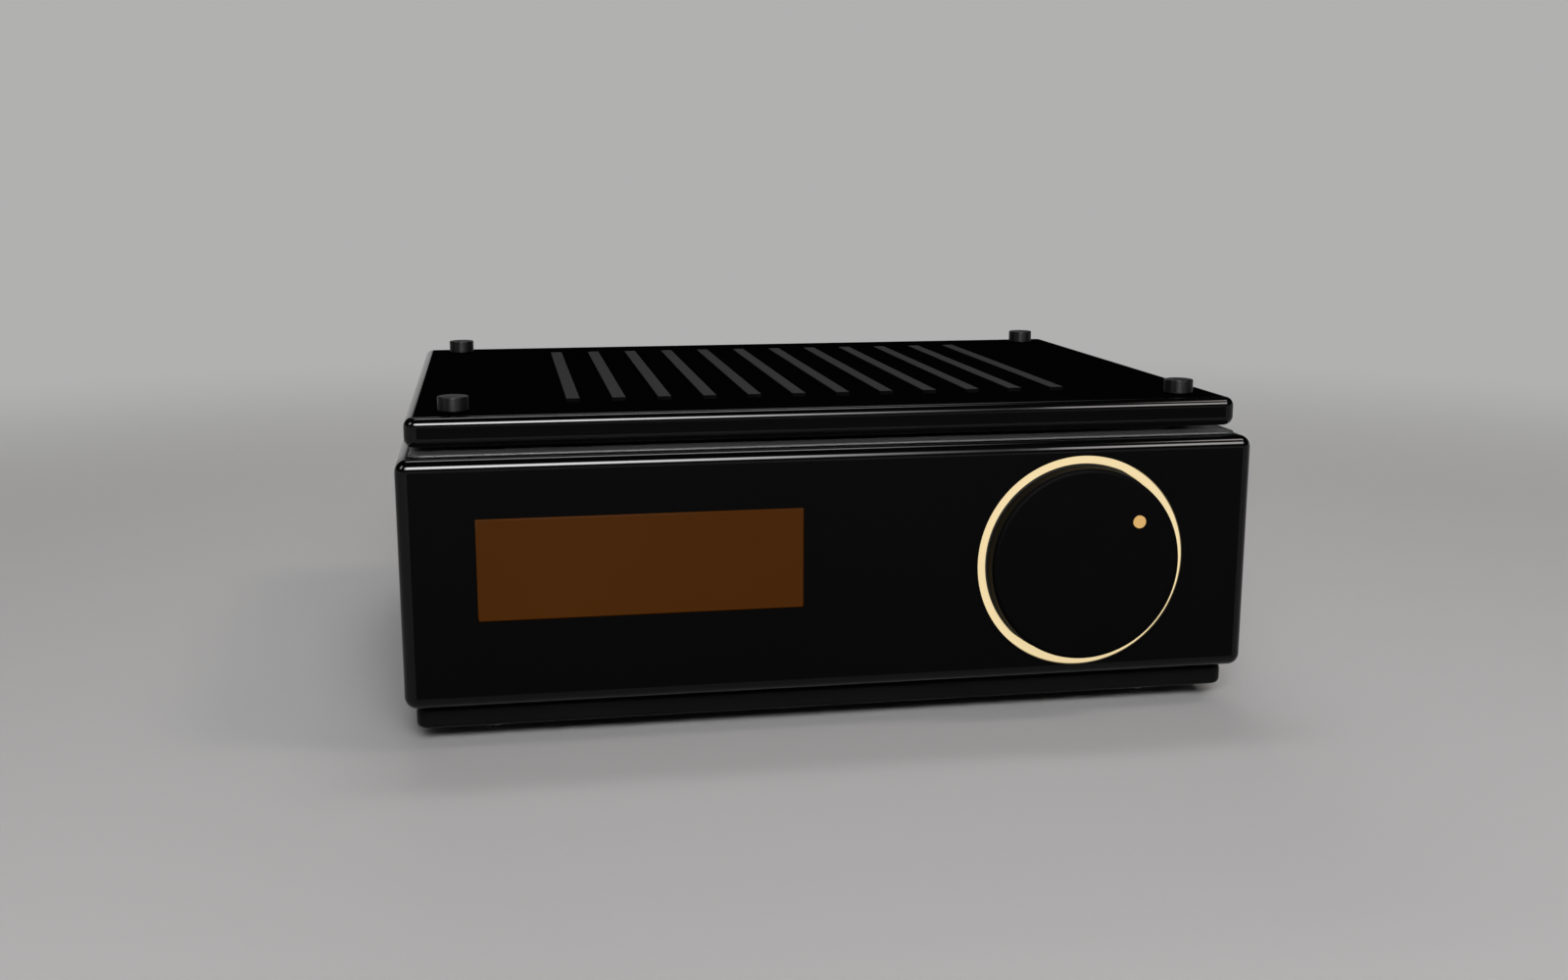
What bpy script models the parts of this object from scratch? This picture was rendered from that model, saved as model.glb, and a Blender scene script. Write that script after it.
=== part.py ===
"""Stereo receiver: a gloss black case with a raised lid, one knob in a light ring and an amber display.

Metres, +Z up, front towards -Y. The origin is under the middle of the object, on the surface it stands on.
"""
import math

import bmesh
import bpy
from mathutils import Matrix, Vector

# Clearances
GAP = 0.0003
RUN_GAP = 0.0006
FIN_CLEARANCE = 0.0006

# Case
CASE_WIDTH = 0.3200
CASE_HEIGHT = 0.0912
CASE_DEPTH = 0.2480
CASE_EDGE_RADIUS = 0.0044
FRONT_THICK = 0.0090
SIDE_THICK = 0.0050
REAR_THICK = 0.0020
REAR_INSET = 0.0030
FLOOR_THICK = 0.0015
DECK_THICK = 0.0008
PLAN_CORNER_RADIUS = 0.0046
CORNER_MARGIN = 0.0002
MIN_CORNER = 0.0001

# Base plate and feet
BASE_THICK = 0.0096
BASE_SIDE_INSET = 0.0035
BASE_SETBACK = 0.0087
BASE_TOP_RADIUS = 0.0040
BASE_BOTTOM_RADIUS = 0.0020
FOOT_HEIGHT = 0.0060
FOOT_RADIUS = 0.0056
FOOT_INSET_X = 0.0326
FOOT_INSET_Y = 0.0293
FOOT_CHAMFER = 0.0005
FOOT_STEM_RADIUS = 0.0020
FOOT_STEM_LENGTH = 0.0060
PAD_RADIUS = 0.0042
PAD_PROUD = 0.0006
PAD_SUNK = 0.0010

# Lid and its thumb screws
LID_THICK = 0.0109
LID_GAP = 0.0026
LID_SIDE_INSET = 0.00325
LID_SETBACK = 0.0091
LID_EDGE_RADIUS = 0.0034
LID_BOSS_RADIUS = 0.0045
SCREW_HEAD_RADIUS = 0.0056
SCREW_HEAD_HEIGHT = 0.0056
SCREW_HEAD_CHAMFER = 0.0004
SCREW_SHANK_RADIUS = 0.0025
SCREW_INSET_X = 0.0206
SCREW_INSET_Y = 0.0255
SCREW_GRIP = 0.0100
SCREW_BLOCK_WIDTH = 0.0140
SCREW_BLOCK_HEIGHT = 0.0080
SCREW_BLOCK_RIB = 0.0160

# Heat sink, whose fins stand proud of the lid
FIN_COUNT = 12
FIN_WIDTH = 0.0053
FIN_PITCH = 0.01734
FIN_FRONT = 0.0422
FIN_REAR = 0.0464
FIN_PROUD = 0.0015
FIN_CHAMFER = 0.0003
SINK_HEADROOM = 0.0060
SINK_PLATE_THICK = 0.0080
SINK_LEG_REACH = 0.0660
SINK_LEG_THICK = 0.0060

# Display
DISPLAY_WIDTH = 0.1176
DISPLAY_HEIGHT = 0.0369
DISPLAY_INSET = 0.0275
DISPLAY_RISE = 0.0324
WINDOW_LIP = 0.0040
WINDOW_LIP_THICK = 0.0020
WINDOW_FRONT_THICK = 0.0040
DISPLAY_BOARD_MARGIN = 0.0030

# Knob, its light ring and the volume control behind it
KNOB_INSET = 0.0678
KNOB_DROP = 0.0005
KNOB_RING_GAP = 0.0010
KNOB_PROUD = 0.0070
KNOB_EDGE_RADIUS = 0.0016
KNOB_SUNK = 0.0009
KNOB_WALL = 0.0032
KNOB_HUB_RADIUS = 0.0080
RING_MARGIN = 0.0054
RING_WIDTH = 0.0026
RING_DEPTH = 0.0050
RING_LIP = 0.0024
RING_LIP_THICK = 0.0017
POINTER_RADIUS = 0.0024
POINTER_REACH = 0.0257
POINTER_ANGLE = 52.0
POINTER_DEPTH = 0.0008
SHAFT_RADIUS = 0.0030
BUSH_RADIUS = 0.0045
NUT_RADIUS = 0.0068
NUT_THICK = 0.0024
NUT_SIDES = 6
CONTROL_SIZE = 0.0240
CONTROL_DEPTH = 0.0105
BRACKET_THICK = 0.0020
BRACKET_SIDE_MARGIN = 0.0004
BRACKET_TOP_GAP = 0.0060
DIAL_BORE_RADIUS = 0.0100

# Boards and what stands on them
BOARD_THICK = 0.0016
BOARD_STANDOFF = 0.0065
STANDOFF_RADIUS = 0.0030
STANDOFF_EDGE = 0.0045
AMP_BOARD_GAP = 0.0080
AMP_BOARD_MARGIN = 0.0147
CAPACITOR_RADIUS = 0.0125
CAPACITOR_HEIGHT = 0.0340
CAPACITOR_SIDE = 0.0280
CAPACITOR_REAR = 0.0420
CAPACITOR_ROLL = 0.0012
TRANSISTOR_THICK = 0.0050
TRANSISTOR_WIDTH = 0.0160
TRANSISTOR_HEIGHT = 0.0210
TRANSISTOR_FRONT = 0.0420
TRANSISTOR_PITCH = 0.0400
TUNER_BOARD_WIDTH = 0.0560
TUNER_BOARD_LENGTH = 0.1150
TUNER_BOARD_EDGE = 0.0060

# Mains transformer
CORE_THICK = 0.0280
CORE_LENGTH = 0.0600
CORE_HEIGHT = 0.0400
CORE_LIMB = 0.0100
CORE_PLACE_X = 0.0430
CORE_PLACE_Y = 0.1600
WINDING_BULGE = 0.0090
WINDING_CORNER = 0.0060

# Rear sockets, measured from the case side and its underside
TERMINAL_FIRST = 0.1180
TERMINAL_PITCH = 0.0250
TERMINAL_PAIR_PITCH = 0.0550
TERMINAL_RISE = 0.0480
POST_COLLAR_RADIUS = 0.0050
POST_FLANGE_RADIUS = 0.0080
POST_FLANGE_THICK = 0.0025
POST_INSIDE = 0.0100
STUD_RADIUS = 0.0030
STUD_BORE_RADIUS = 0.0021
CAP_RADIUS = 0.0075
CAP_LENGTH = 0.0140
CAP_FLUTE = 0.0005
WASHER_RADIUS = 0.0065
WASHER_THICK = 0.0012
JACK_COLUMNS = 3
JACK_ROWS = 2
JACK_PITCH = 0.0150
JACK_RADIUS = 0.0042
JACK_BORE_RADIUS = 0.0017
JACK_REACH = 0.0095
JACK_BLOCK_DEPTH = 0.0110
JACK_BLOCK_MARGIN = 0.0075
ANTENNA_PLACE = 0.0350
ANTENNA_DROP = 0.0192
ANTENNA_RADIUS = 0.0048
ANTENNA_BORE_RADIUS = 0.0042
ANTENNA_PIN_RADIUS = 0.0011
ANTENNA_REACH = 0.0095
ANTENNA_FLANGE_RADIUS = 0.0080
INLET_PLACE = 0.0420
INLET_RISE = 0.0260
INLET_WIDTH = 0.0280
INLET_HEIGHT = 0.0200
INLET_DEPTH = 0.0210
INLET_WALL = 0.0018
INLET_RECESS = 0.0150
INLET_FLANGE = 0.0030
INLET_FLANGE_THICK = 0.0022
INLET_CORNER_CUT = 0.0045
PIN_WIDTH = 0.0020
PIN_LENGTH = 0.0100
PIN_HEIGHT = 0.0040
PIN_SPREAD = 0.0070
SWITCH_PLACE = 0.0420
SWITCH_DROP = 0.0240
ROCKER_HALF_LENGTH = 0.0080
ROCKER_WIDTH = 0.0104
ROCKER_TILT = 10.0
ROCKER_DEPTH = 0.0065
ROCKER_FACE = 0.0030
SWITCH_WALL = 0.0016
SWITCH_FLANGE = 0.0020
SWITCH_FLANGE_THICK = 0.0018

# Facets of round forms
ARC_STEPS = 4
FINE_SEGMENTS = 48
ROUND_SEGMENTS = 24
SMALL_SEGMENTS = 16
PEG_SEGMENTS = 12

# Levels and planes that follow from the sizes above
BASE_BOTTOM = FOOT_HEIGHT
CASE_BOTTOM = BASE_BOTTOM + BASE_THICK + GAP
CASE_TOP = CASE_BOTTOM + CASE_HEIGHT
CASE_MIDDLE = (CASE_BOTTOM + CASE_TOP) / 2
DECK_BOTTOM = CASE_TOP + GAP
DECK_TOP = DECK_BOTTOM + DECK_THICK
LID_BOTTOM = CASE_TOP + LID_GAP
LID_TOP = LID_BOTTOM + LID_THICK
FLOOR_TOP = CASE_BOTTOM + FLOOR_THICK
BOARD_BOTTOM = FLOOR_TOP + BOARD_STANDOFF + GAP
BOARD_TOP = BOARD_BOTTOM + BOARD_THICK
CORE_TOP = FLOOR_TOP + GAP + CORE_HEIGHT
CAPACITOR_TOP = BOARD_TOP + GAP + CAPACITOR_HEIGHT
SINK_PLATE_LOW = max(CORE_TOP, CAPACITOR_TOP) + SINK_HEADROOM
FIN_LENGTH = CASE_DEPTH - FIN_FRONT - FIN_REAR
TERMINAL_REACH = GAP + POST_FLANGE_THICK + GAP + WASHER_THICK + GAP + CAP_LENGTH
FRONT_Y = (KNOB_PROUD - CASE_DEPTH + REAR_INSET - TERMINAL_REACH) / 2
FRONT_BACK_Y = FRONT_Y + FRONT_THICK
CASE_BACK_Y = FRONT_Y + CASE_DEPTH
PANEL_OUT_Y = CASE_BACK_Y - REAR_INSET
PANEL_IN_Y = PANEL_OUT_Y - REAR_THICK
SIDE_IN_X = CASE_WIDTH / 2 - SIDE_THICK
KNOB_X = CASE_WIDTH / 2 - KNOB_INSET
KNOB_Z = CASE_MIDDLE - KNOB_DROP
SCREW_X = CASE_WIDTH / 2 - SCREW_INSET_X
SCREW_YS = (FRONT_Y + SCREW_INSET_Y, CASE_BACK_Y - SCREW_INSET_Y)
FOOT_X = CASE_WIDTH / 2 - FOOT_INSET_X
FOOT_YS = (FRONT_Y + FOOT_INSET_Y, CASE_BACK_Y - FOOT_INSET_Y)
HOLE_RADIUS = SCREW_SHANK_RADIUS + GAP
RING_OUTER_RADIUS = CASE_HEIGHT / 2 - RING_MARGIN
RING_INNER_RADIUS = RING_OUTER_RADIUS - RING_WIDTH
KNOB_RADIUS = RING_INNER_RADIUS - KNOB_RING_GAP
RING_BACK_Y = FRONT_Y + RING_DEPTH + GAP + RING_LIP_THICK
RING_BOARD_Y = RING_BACK_Y + GAP
BRACKET_Y = max(FRONT_BACK_Y, RING_BOARD_Y + BOARD_THICK) + GAP
CONTROL_Y = BRACKET_Y + BRACKET_THICK + GAP
CORNERS = (("front_left", -1, 0), ("front_right", 1, 0), ("rear_left", -1, 1), ("rear_right", 1, 1))
OVERLAP = 0.0010

# Axes for pieces that are modelled flat and then face the front or the rear
FACING_FRONT = Matrix(((1, 0, 0, 0), (0, 0, -1, 0), (0, 1, 0, 0), (0, 0, 0, 1)))
FACING_REAR = Matrix(((-1, 0, 0, 0), (0, 0, 1, 0), (0, 1, 0, 0), (0, 0, 0, 1)))


def clear_scene():
    for item in list(bpy.data.objects):
        bpy.data.objects.remove(item, do_unlink=True)


def finish(name, colour, roughness, metallic):
    material = bpy.data.materials.new(name)
    material.use_nodes = True
    shader = material.node_tree.nodes["Principled BSDF"]
    shader.inputs["Base Color"].default_value = (*colour, 1.0)
    shader.inputs["Roughness"].default_value = roughness
    shader.inputs["Metallic"].default_value = metallic
    return material


def make_finishes():
    return {
        "gloss_black": finish("gloss_black", (0.004, 0.004, 0.004), 0.08, 0.0),
        "satin_grey": finish("satin_grey", (0.060, 0.060, 0.062), 0.38, 0.6),
        "black_plastic": finish("black_plastic", (0.010, 0.010, 0.010), 0.45, 0.0),
        "steel": finish("steel", (0.420, 0.420, 0.430), 0.35, 1.0),
        "rubber": finish("rubber", (0.015, 0.015, 0.015), 0.80, 0.0),
        "amber_glass": finish("amber_glass", (0.063, 0.021, 0.005), 0.10, 0.0),
        "warm_light": finish("warm_light", (0.930, 0.730, 0.390), 0.40, 0.0),
        "amber_light": finish("amber_light", (0.700, 0.420, 0.150), 0.35, 0.0),
        "board_green": finish("board_green", (0.010, 0.060, 0.025), 0.50, 0.0),
        "copper": finish("copper", (0.400, 0.150, 0.050), 0.40, 0.8),
        "brass": finish("brass", (0.600, 0.430, 0.160), 0.25, 1.0),
        "red_plastic": finish("red_plastic", (0.350, 0.010, 0.010), 0.40, 0.0),
        "sleeve_blue": finish("sleeve_blue", (0.010, 0.020, 0.080), 0.40, 0.0),
    }


def make_object(name, mesh_data, material, location=(0, 0, 0)):
    """Turn a bmesh into a named object with outward faces and smooth round sides."""
    bmesh.ops.recalc_face_normals(mesh_data, faces=mesh_data.faces)
    mesh = bpy.data.meshes.new(name)
    mesh_data.to_mesh(mesh)
    mesh_data.free()
    mesh.shade_smooth()
    mesh.set_sharp_from_angle(angle=math.radians(35))
    item = bpy.data.objects.new(name, mesh)
    item.location = location
    bpy.context.scene.collection.objects.link(item)
    if material:
        mesh.materials.append(material)
    return item


def boolean(target, mesh_data, operation):
    """Cut a tool shape out of the target, or join it on."""
    tool = make_object(f"{target.name}_{operation.lower()}_tool", mesh_data, None)
    tool.hide_render = True
    tool.display_type = "WIRE"
    modifier = target.modifiers.new(operation.title(), "BOOLEAN")
    modifier.operation = operation
    modifier.solver = "EXACT"
    modifier.object = tool


def add_box(mesh_data, low, high):
    low = Vector(low)
    high = Vector(high)
    place = Matrix.Translation((low + high) / 2) @ Matrix.Diagonal((*(high - low), 1))
    return bmesh.ops.create_cube(mesh_data, size=1.0, matrix=place)["verts"]


def add_loops(mesh_data, loops, closed=False):
    """Skin a row of point loops. Ends are capped, or joined to each other when closed."""
    rows = [[mesh_data.verts.new(point) for point in loop] for loop in loops]
    pairs = list(zip(rows, rows[1:]))
    if closed:
        pairs.append((rows[-1], rows[0]))
    for first, second in pairs:
        count = max(len(first), len(second))
        for index in range(count):
            following = (index + 1) % count
            ring = []
            for row, order in ((first, (index, following)), (second, (following, index))):
                ring += [row[0]] if len(row) == 1 else [row[step] for step in order]
            mesh_data.faces.new(ring)
    if not closed:
        for row in (rows[0], rows[-1]):
            if len(row) > 1:
                mesh_data.faces.new(row)


def add_turned(mesh_data, profile, segments, place=Matrix(), closed=False):
    """Turn (radius, height) points about the local Z axis. A third value flutes that outline by its depth."""
    loops = []
    for radius, height, *flute in profile:
        if radius == 0.0:
            loops.append([place @ Vector((0, 0, height))])
            continue
        loop = []
        for step in range(segments):
            angle = 2 * math.pi * step / segments
            reach = radius - (flute[0] if flute and step % 2 else 0.0)
            loop.append(place @ Vector((reach * math.cos(angle), reach * math.sin(angle), height)))
        loops.append(loop)
    add_loops(mesh_data, loops, closed)


def add_rod(mesh_data, radius, low, high, place=Matrix(), segments=SMALL_SEGMENTS):
    add_turned(mesh_data, ((radius, low), (radius, high)), segments, place)


def rounded_loop(half_a, half_b, radius):
    points = []
    for corner, (side_a, side_b) in enumerate(((1, 1), (-1, 1), (-1, -1), (1, -1))):
        for step in range(ARC_STEPS + 1):
            angle = math.pi / 2 * (corner + step / ARC_STEPS)
            points.append((side_a * (half_a - radius) + radius * math.cos(angle),
                           side_b * (half_b - radius) + radius * math.sin(angle)))
    return points


def add_slab(mesh_data, half_a, half_b, corner, profile, place, closed=False):
    """Stack rounded rectangles: each profile point is how far its outline is drawn in, and its height."""
    loops = []
    for inset, height in profile:
        radius = max(corner - inset, MIN_CORNER)
        outline = rounded_loop(half_a - inset, half_b - inset, radius)
        loops.append([place @ Vector((a, b, height)) for a, b in outline])
    add_loops(mesh_data, loops, closed)


def edge_profile(thick, low_radius, high_radius):
    """Profile of a plate whose lower and upper edges are quarter rounds."""
    points = []
    turns = [math.pi / 2 * step / ARC_STEPS for step in range(ARC_STEPS + 1)]
    if low_radius:
        points += [(low_radius - low_radius * math.sin(turn), low_radius - low_radius * math.cos(turn))
                   for turn in turns]
    else:
        points.append((0.0, 0.0))
    points += [(high_radius - high_radius * math.cos(turn),
                thick - high_radius + high_radius * math.sin(turn)) for turn in turns]
    return points


def add_extrusion(mesh_data, outline, axis, low, high):
    """Extrude a flat outline along X or Y. The outline gives the other two coordinates in order."""
    def point(pair, level):
        return Vector((level, *pair)) if axis == "X" else Vector((pair[0], level, pair[1]))
    add_loops(mesh_data, [[point(pair, level) for pair in outline] for level in (low, high)])


def rear_x(place):
    """X of a rear socket, whose place is measured from the case's +X side."""
    return CASE_WIDTH / 2 - place


def fin_centres():
    return [(index - (FIN_COUNT - 1) / 2) * FIN_PITCH for index in range(FIN_COUNT)]


def add_fin_slots(mesh_data, low, high):
    half = FIN_WIDTH / 2 + FIN_CLEARANCE
    front = FRONT_Y + FIN_FRONT - FIN_CLEARANCE
    back = FRONT_Y + FIN_FRONT + FIN_LENGTH + FIN_CLEARANCE
    for centre in fin_centres():
        add_box(mesh_data, (centre - half, front, low), (centre + half, back, high))


def add_screw_holes(mesh_data, low, high):
    for _, side, row in CORNERS:
        add_rod(mesh_data, HOLE_RADIUS, low, high, Matrix.Translation((side * SCREW_X, SCREW_YS[row], 0)))


def build_front_panel(finishes):
    shape = bmesh.new()
    place = Matrix.Translation((0, FRONT_BACK_Y, CASE_MIDDLE)) @ FACING_FRONT
    add_slab(shape, CASE_WIDTH / 2, CASE_HEIGHT / 2, CASE_EDGE_RADIUS + CORNER_MARGIN,
             edge_profile(FRONT_THICK, 0.0, CASE_EDGE_RADIUS), place)
    panel = make_object("front_panel", shape, finishes["gloss_black"])
    cut = bmesh.new()
    left, right, low, high = display_edges()
    lip = WINDOW_LIP + GAP
    add_box(cut, (left - GAP, FRONT_Y - OVERLAP, low - GAP), (right + GAP, FRONT_BACK_Y, high + GAP))
    boolean(panel, cut, "DIFFERENCE")
    pocket = bmesh.new()
    add_box(pocket, (left - lip, FRONT_Y + WINDOW_FRONT_THICK, low - lip),
            (right + lip, FRONT_BACK_Y + OVERLAP, high + lip))
    boolean(panel, pocket, "DIFFERENCE")
    bore = bmesh.new()
    wide = RING_OUTER_RADIUS + RING_LIP + GAP
    narrow = RING_OUTER_RADIUS + GAP
    axis = Matrix.Translation((KNOB_X, FRONT_Y, KNOB_Z)) @ FACING_FRONT
    add_turned(bore, ((wide, -FRONT_THICK - OVERLAP), (wide, -RING_DEPTH), (narrow, -RING_DEPTH),
                      (narrow, OVERLAP)), FINE_SEGMENTS, axis)
    boolean(panel, bore, "DIFFERENCE")


def build_side_panel(name, side, finishes):
    """A side with rounded outer edges and two inner blocks that take the lid's screws."""
    shape = bmesh.new()
    outer = side * CASE_WIDTH / 2
    xs = sorted((outer, side * SIDE_IN_X))
    add_box(shape, (xs[0], FRONT_BACK_Y + GAP, CASE_BOTTOM), (xs[1], CASE_BACK_Y, CASE_TOP))
    on_outside = [edge for edge in shape.edges
                  if all(abs(vert.co.x - outer) < GAP for vert in edge.verts)
                  and any(vert.co.y > CASE_BACK_Y - GAP for vert in edge.verts)]
    rounding = min(CASE_EDGE_RADIUS, SIDE_THICK - GAP)
    bmesh.ops.bevel(shape, geom=on_outside, offset=rounding, segments=ARC_STEPS,
                    profile=0.5, affect="EDGES")
    panel = make_object(name, shape, finishes["gloss_black"])
    blocks = bmesh.new()
    top = CASE_TOP - GAP
    inner = side * (SCREW_X - SCREW_BLOCK_WIDTH / 2)
    root = side * (SIDE_IN_X + OVERLAP)
    outline = ((root, top), (inner, top), (inner, top - SCREW_BLOCK_HEIGHT),
               (root, top - SCREW_BLOCK_HEIGHT - SCREW_BLOCK_RIB))
    for middle in SCREW_YS:
        add_extrusion(blocks, outline, "Y", middle - SCREW_BLOCK_WIDTH / 2, middle + SCREW_BLOCK_WIDTH / 2)
    boolean(panel, blocks, "UNION")
    holes = bmesh.new()
    for middle in SCREW_YS:
        add_rod(holes, HOLE_RADIUS, CASE_TOP - SCREW_BLOCK_HEIGHT - SCREW_BLOCK_RIB, CASE_TOP + OVERLAP,
                Matrix.Translation((side * SCREW_X, middle, 0)))
    boolean(panel, holes, "DIFFERENCE")


def build_rear_panel(finishes):
    shape = bmesh.new()
    half = SIDE_IN_X - GAP
    add_box(shape, (-half, PANEL_IN_Y, FLOOR_TOP + GAP), (half, PANEL_OUT_Y, CASE_TOP - GAP))
    panel = make_object("rear_panel", shape, finishes["black_plastic"])
    cut = bmesh.new()
    through = (-OVERLAP, REAR_THICK + OVERLAP)
    for x, z in terminal_centres():
        add_rod(cut, POST_COLLAR_RADIUS + GAP, *through, rear_place(x, z, PANEL_IN_Y))
    for x, z in jack_centres():
        add_rod(cut, JACK_RADIUS + GAP, *through, rear_place(x, z, PANEL_IN_Y))
    add_rod(cut, ANTENNA_RADIUS + GAP, *through, antenna_place(PANEL_IN_Y))
    for centre, half_size in ((inlet_centre(), (INLET_WIDTH / 2, INLET_HEIGHT / 2)),
                              (switch_centre(), switch_body_half())):
        x, z = centre
        a, b = half_size
        add_box(cut, (x - a - GAP, PANEL_IN_Y - OVERLAP, z - b - GAP),
                (x + a + GAP, PANEL_OUT_Y + OVERLAP, z + b + GAP))
    boolean(panel, cut, "DIFFERENCE")


def build_floor(finishes):
    """Sheet floor between the sides, with the standoffs that carry the boards."""
    shape = bmesh.new()
    half = SIDE_IN_X - GAP
    add_box(shape, (-half, FRONT_BACK_Y + GAP, CASE_BOTTOM), (half, PANEL_OUT_Y, FLOOR_TOP))
    floor = make_object("chassis_floor", shape, finishes["steel"])
    pillars = bmesh.new()
    for low, high in (amp_board_box(), tuner_board_box()):
        for x in (low[0] + STANDOFF_EDGE, high[0] - STANDOFF_EDGE):
            for y in (low[1] + STANDOFF_EDGE, high[1] - STANDOFF_EDGE):
                add_rod(pillars, STANDOFF_RADIUS, CASE_BOTTOM + FLOOR_THICK / 2, FLOOR_TOP + BOARD_STANDOFF,
                        Matrix.Translation((x, y, 0)), PEG_SEGMENTS)
    boolean(floor, pillars, "UNION")


def build_base_plate(finishes):
    shape = bmesh.new()
    depth = CASE_DEPTH - 2 * BASE_SETBACK
    place = Matrix.Translation((0, FRONT_Y + CASE_DEPTH / 2, BASE_BOTTOM))
    add_slab(shape, CASE_WIDTH / 2 - BASE_SIDE_INSET, depth / 2, PLAN_CORNER_RADIUS,
             edge_profile(BASE_THICK, BASE_BOTTOM_RADIUS, BASE_TOP_RADIUS), place)
    plate = make_object("base_plate", shape, finishes["satin_grey"])
    holes = bmesh.new()
    for _, side, row in CORNERS:
        add_rod(holes, FOOT_STEM_RADIUS + GAP, BASE_BOTTOM - OVERLAP, BASE_BOTTOM + FOOT_STEM_LENGTH + GAP,
                Matrix.Translation((side * FOOT_X, FOOT_YS[row], 0)))
    boolean(plate, holes, "DIFFERENCE")


def build_feet(finishes):
    bottom = PAD_PROUD
    top = FOOT_HEIGHT - GAP
    profile = ((0.0, bottom + PAD_SUNK), (PAD_RADIUS + GAP, bottom + PAD_SUNK), (PAD_RADIUS + GAP, bottom),
               (FOOT_RADIUS - FOOT_CHAMFER, bottom), (FOOT_RADIUS, bottom + FOOT_CHAMFER), (FOOT_RADIUS, top),
               (FOOT_STEM_RADIUS, top), (FOOT_STEM_RADIUS, FOOT_HEIGHT + FOOT_STEM_LENGTH),
               (0.0, FOOT_HEIGHT + FOOT_STEM_LENGTH))
    pad_top = bottom + PAD_SUNK - GAP
    pad = ((0.0, 0.0), (PAD_RADIUS, 0.0), (PAD_RADIUS, pad_top), (0.0, pad_top))
    for corner, side, row in CORNERS:
        place = (side * FOOT_X, FOOT_YS[row], 0)
        shape = bmesh.new()
        add_turned(shape, profile, ROUND_SEGMENTS)
        make_object(f"foot_{corner}", shape, finishes["satin_grey"], place)
        shape = bmesh.new()
        add_turned(shape, pad, SMALL_SEGMENTS)
        make_object(f"foot_pad_{corner}", shape, finishes["rubber"], place)


def build_deck(finishes):
    """Thin grey sheet that closes the case top, seen in the gap under the lid."""
    shape = bmesh.new()
    inset = CASE_EDGE_RADIUS + GAP
    place = Matrix.Translation((0, FRONT_Y + CASE_DEPTH / 2, DECK_BOTTOM))
    add_slab(shape, CASE_WIDTH / 2 - inset, CASE_DEPTH / 2 - inset, PLAN_CORNER_RADIUS,
             ((0.0, 0.0), (0.0, DECK_THICK)), place)
    deck = make_object("top_deck", shape, finishes["satin_grey"])
    cut = bmesh.new()
    add_fin_slots(cut, DECK_BOTTOM - OVERLAP, DECK_TOP + OVERLAP)
    add_screw_holes(cut, DECK_BOTTOM - OVERLAP, DECK_TOP + OVERLAP)
    boolean(deck, cut, "DIFFERENCE")


def build_lid(finishes):
    shape = bmesh.new()
    depth = CASE_DEPTH - 2 * LID_SETBACK
    place = Matrix.Translation((0, FRONT_Y + CASE_DEPTH / 2, LID_BOTTOM))
    add_slab(shape, CASE_WIDTH / 2 - LID_SIDE_INSET, depth / 2, PLAN_CORNER_RADIUS,
             edge_profile(LID_THICK, LID_EDGE_RADIUS, LID_EDGE_RADIUS), place)
    lid = make_object("lid", shape, finishes["gloss_black"])
    bosses = bmesh.new()
    for _, side, row in CORNERS:
        add_rod(bosses, LID_BOSS_RADIUS, DECK_TOP + GAP, LID_BOTTOM + OVERLAP,
                Matrix.Translation((side * SCREW_X, SCREW_YS[row], 0)))
    boolean(lid, bosses, "UNION")
    cut = bmesh.new()
    add_fin_slots(cut, LID_BOTTOM - OVERLAP, LID_TOP + OVERLAP)
    add_screw_holes(cut, DECK_TOP - OVERLAP, LID_TOP + OVERLAP)
    boolean(lid, cut, "DIFFERENCE")


def build_lid_screws(finishes):
    seat = LID_TOP + GAP
    top = LID_TOP + SCREW_HEAD_HEIGHT
    tip = CASE_TOP - SCREW_GRIP
    profile = ((0.0, tip), (SCREW_SHANK_RADIUS, tip), (SCREW_SHANK_RADIUS, seat), (SCREW_HEAD_RADIUS, seat),
               (SCREW_HEAD_RADIUS, top - SCREW_HEAD_CHAMFER), (SCREW_HEAD_RADIUS - SCREW_HEAD_CHAMFER, top),
               (0.0, top))
    for corner, side, row in CORNERS:
        shape = bmesh.new()
        add_turned(shape, profile, ROUND_SEGMENTS)
        make_object(f"lid_screw_{corner}", shape, finishes["satin_grey"], (side * SCREW_X, SCREW_YS[row], 0))


def build_heat_sink(finishes):
    """Extruded bridge on two legs. Its comb of fins passes through the deck and stands proud of the lid."""
    plate_low = SINK_PLATE_LOW
    plate_high = plate_low + SINK_PLATE_THICK
    fin_top = LID_TOP + FIN_PROUD
    foot = FLOOR_TOP + GAP
    reach = fin_centres()[-1] + FIN_WIDTH / 2
    leg_in = SINK_LEG_REACH - SINK_LEG_THICK
    outline = [(-leg_in, foot), (-leg_in, plate_low), (leg_in, plate_low), (leg_in, foot),
               (SINK_LEG_REACH, foot), (SINK_LEG_REACH, plate_low), (reach, plate_low)]
    for centre in reversed(fin_centres()):
        right = centre + FIN_WIDTH / 2
        left = centre - FIN_WIDTH / 2
        if centre != fin_centres()[-1]:
            outline.append((right, plate_high))
        outline += [(right, fin_top - FIN_CHAMFER), (right - FIN_CHAMFER, fin_top),
                    (left + FIN_CHAMFER, fin_top), (left, fin_top - FIN_CHAMFER)]
        if centre != fin_centres()[0]:
            outline.append((left, plate_high))
    outline += [(-reach, plate_low), (-SINK_LEG_REACH, plate_low), (-SINK_LEG_REACH, foot)]
    shape = bmesh.new()
    front = FRONT_Y + FIN_FRONT
    add_extrusion(shape, outline, "Y", front, front + FIN_LENGTH)
    make_object("heat_sink", shape, finishes["satin_grey"])


def display_edges():
    left = -CASE_WIDTH / 2 + DISPLAY_INSET
    low = CASE_BOTTOM + DISPLAY_RISE
    return left, left + DISPLAY_WIDTH, low, low + DISPLAY_HEIGHT


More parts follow.
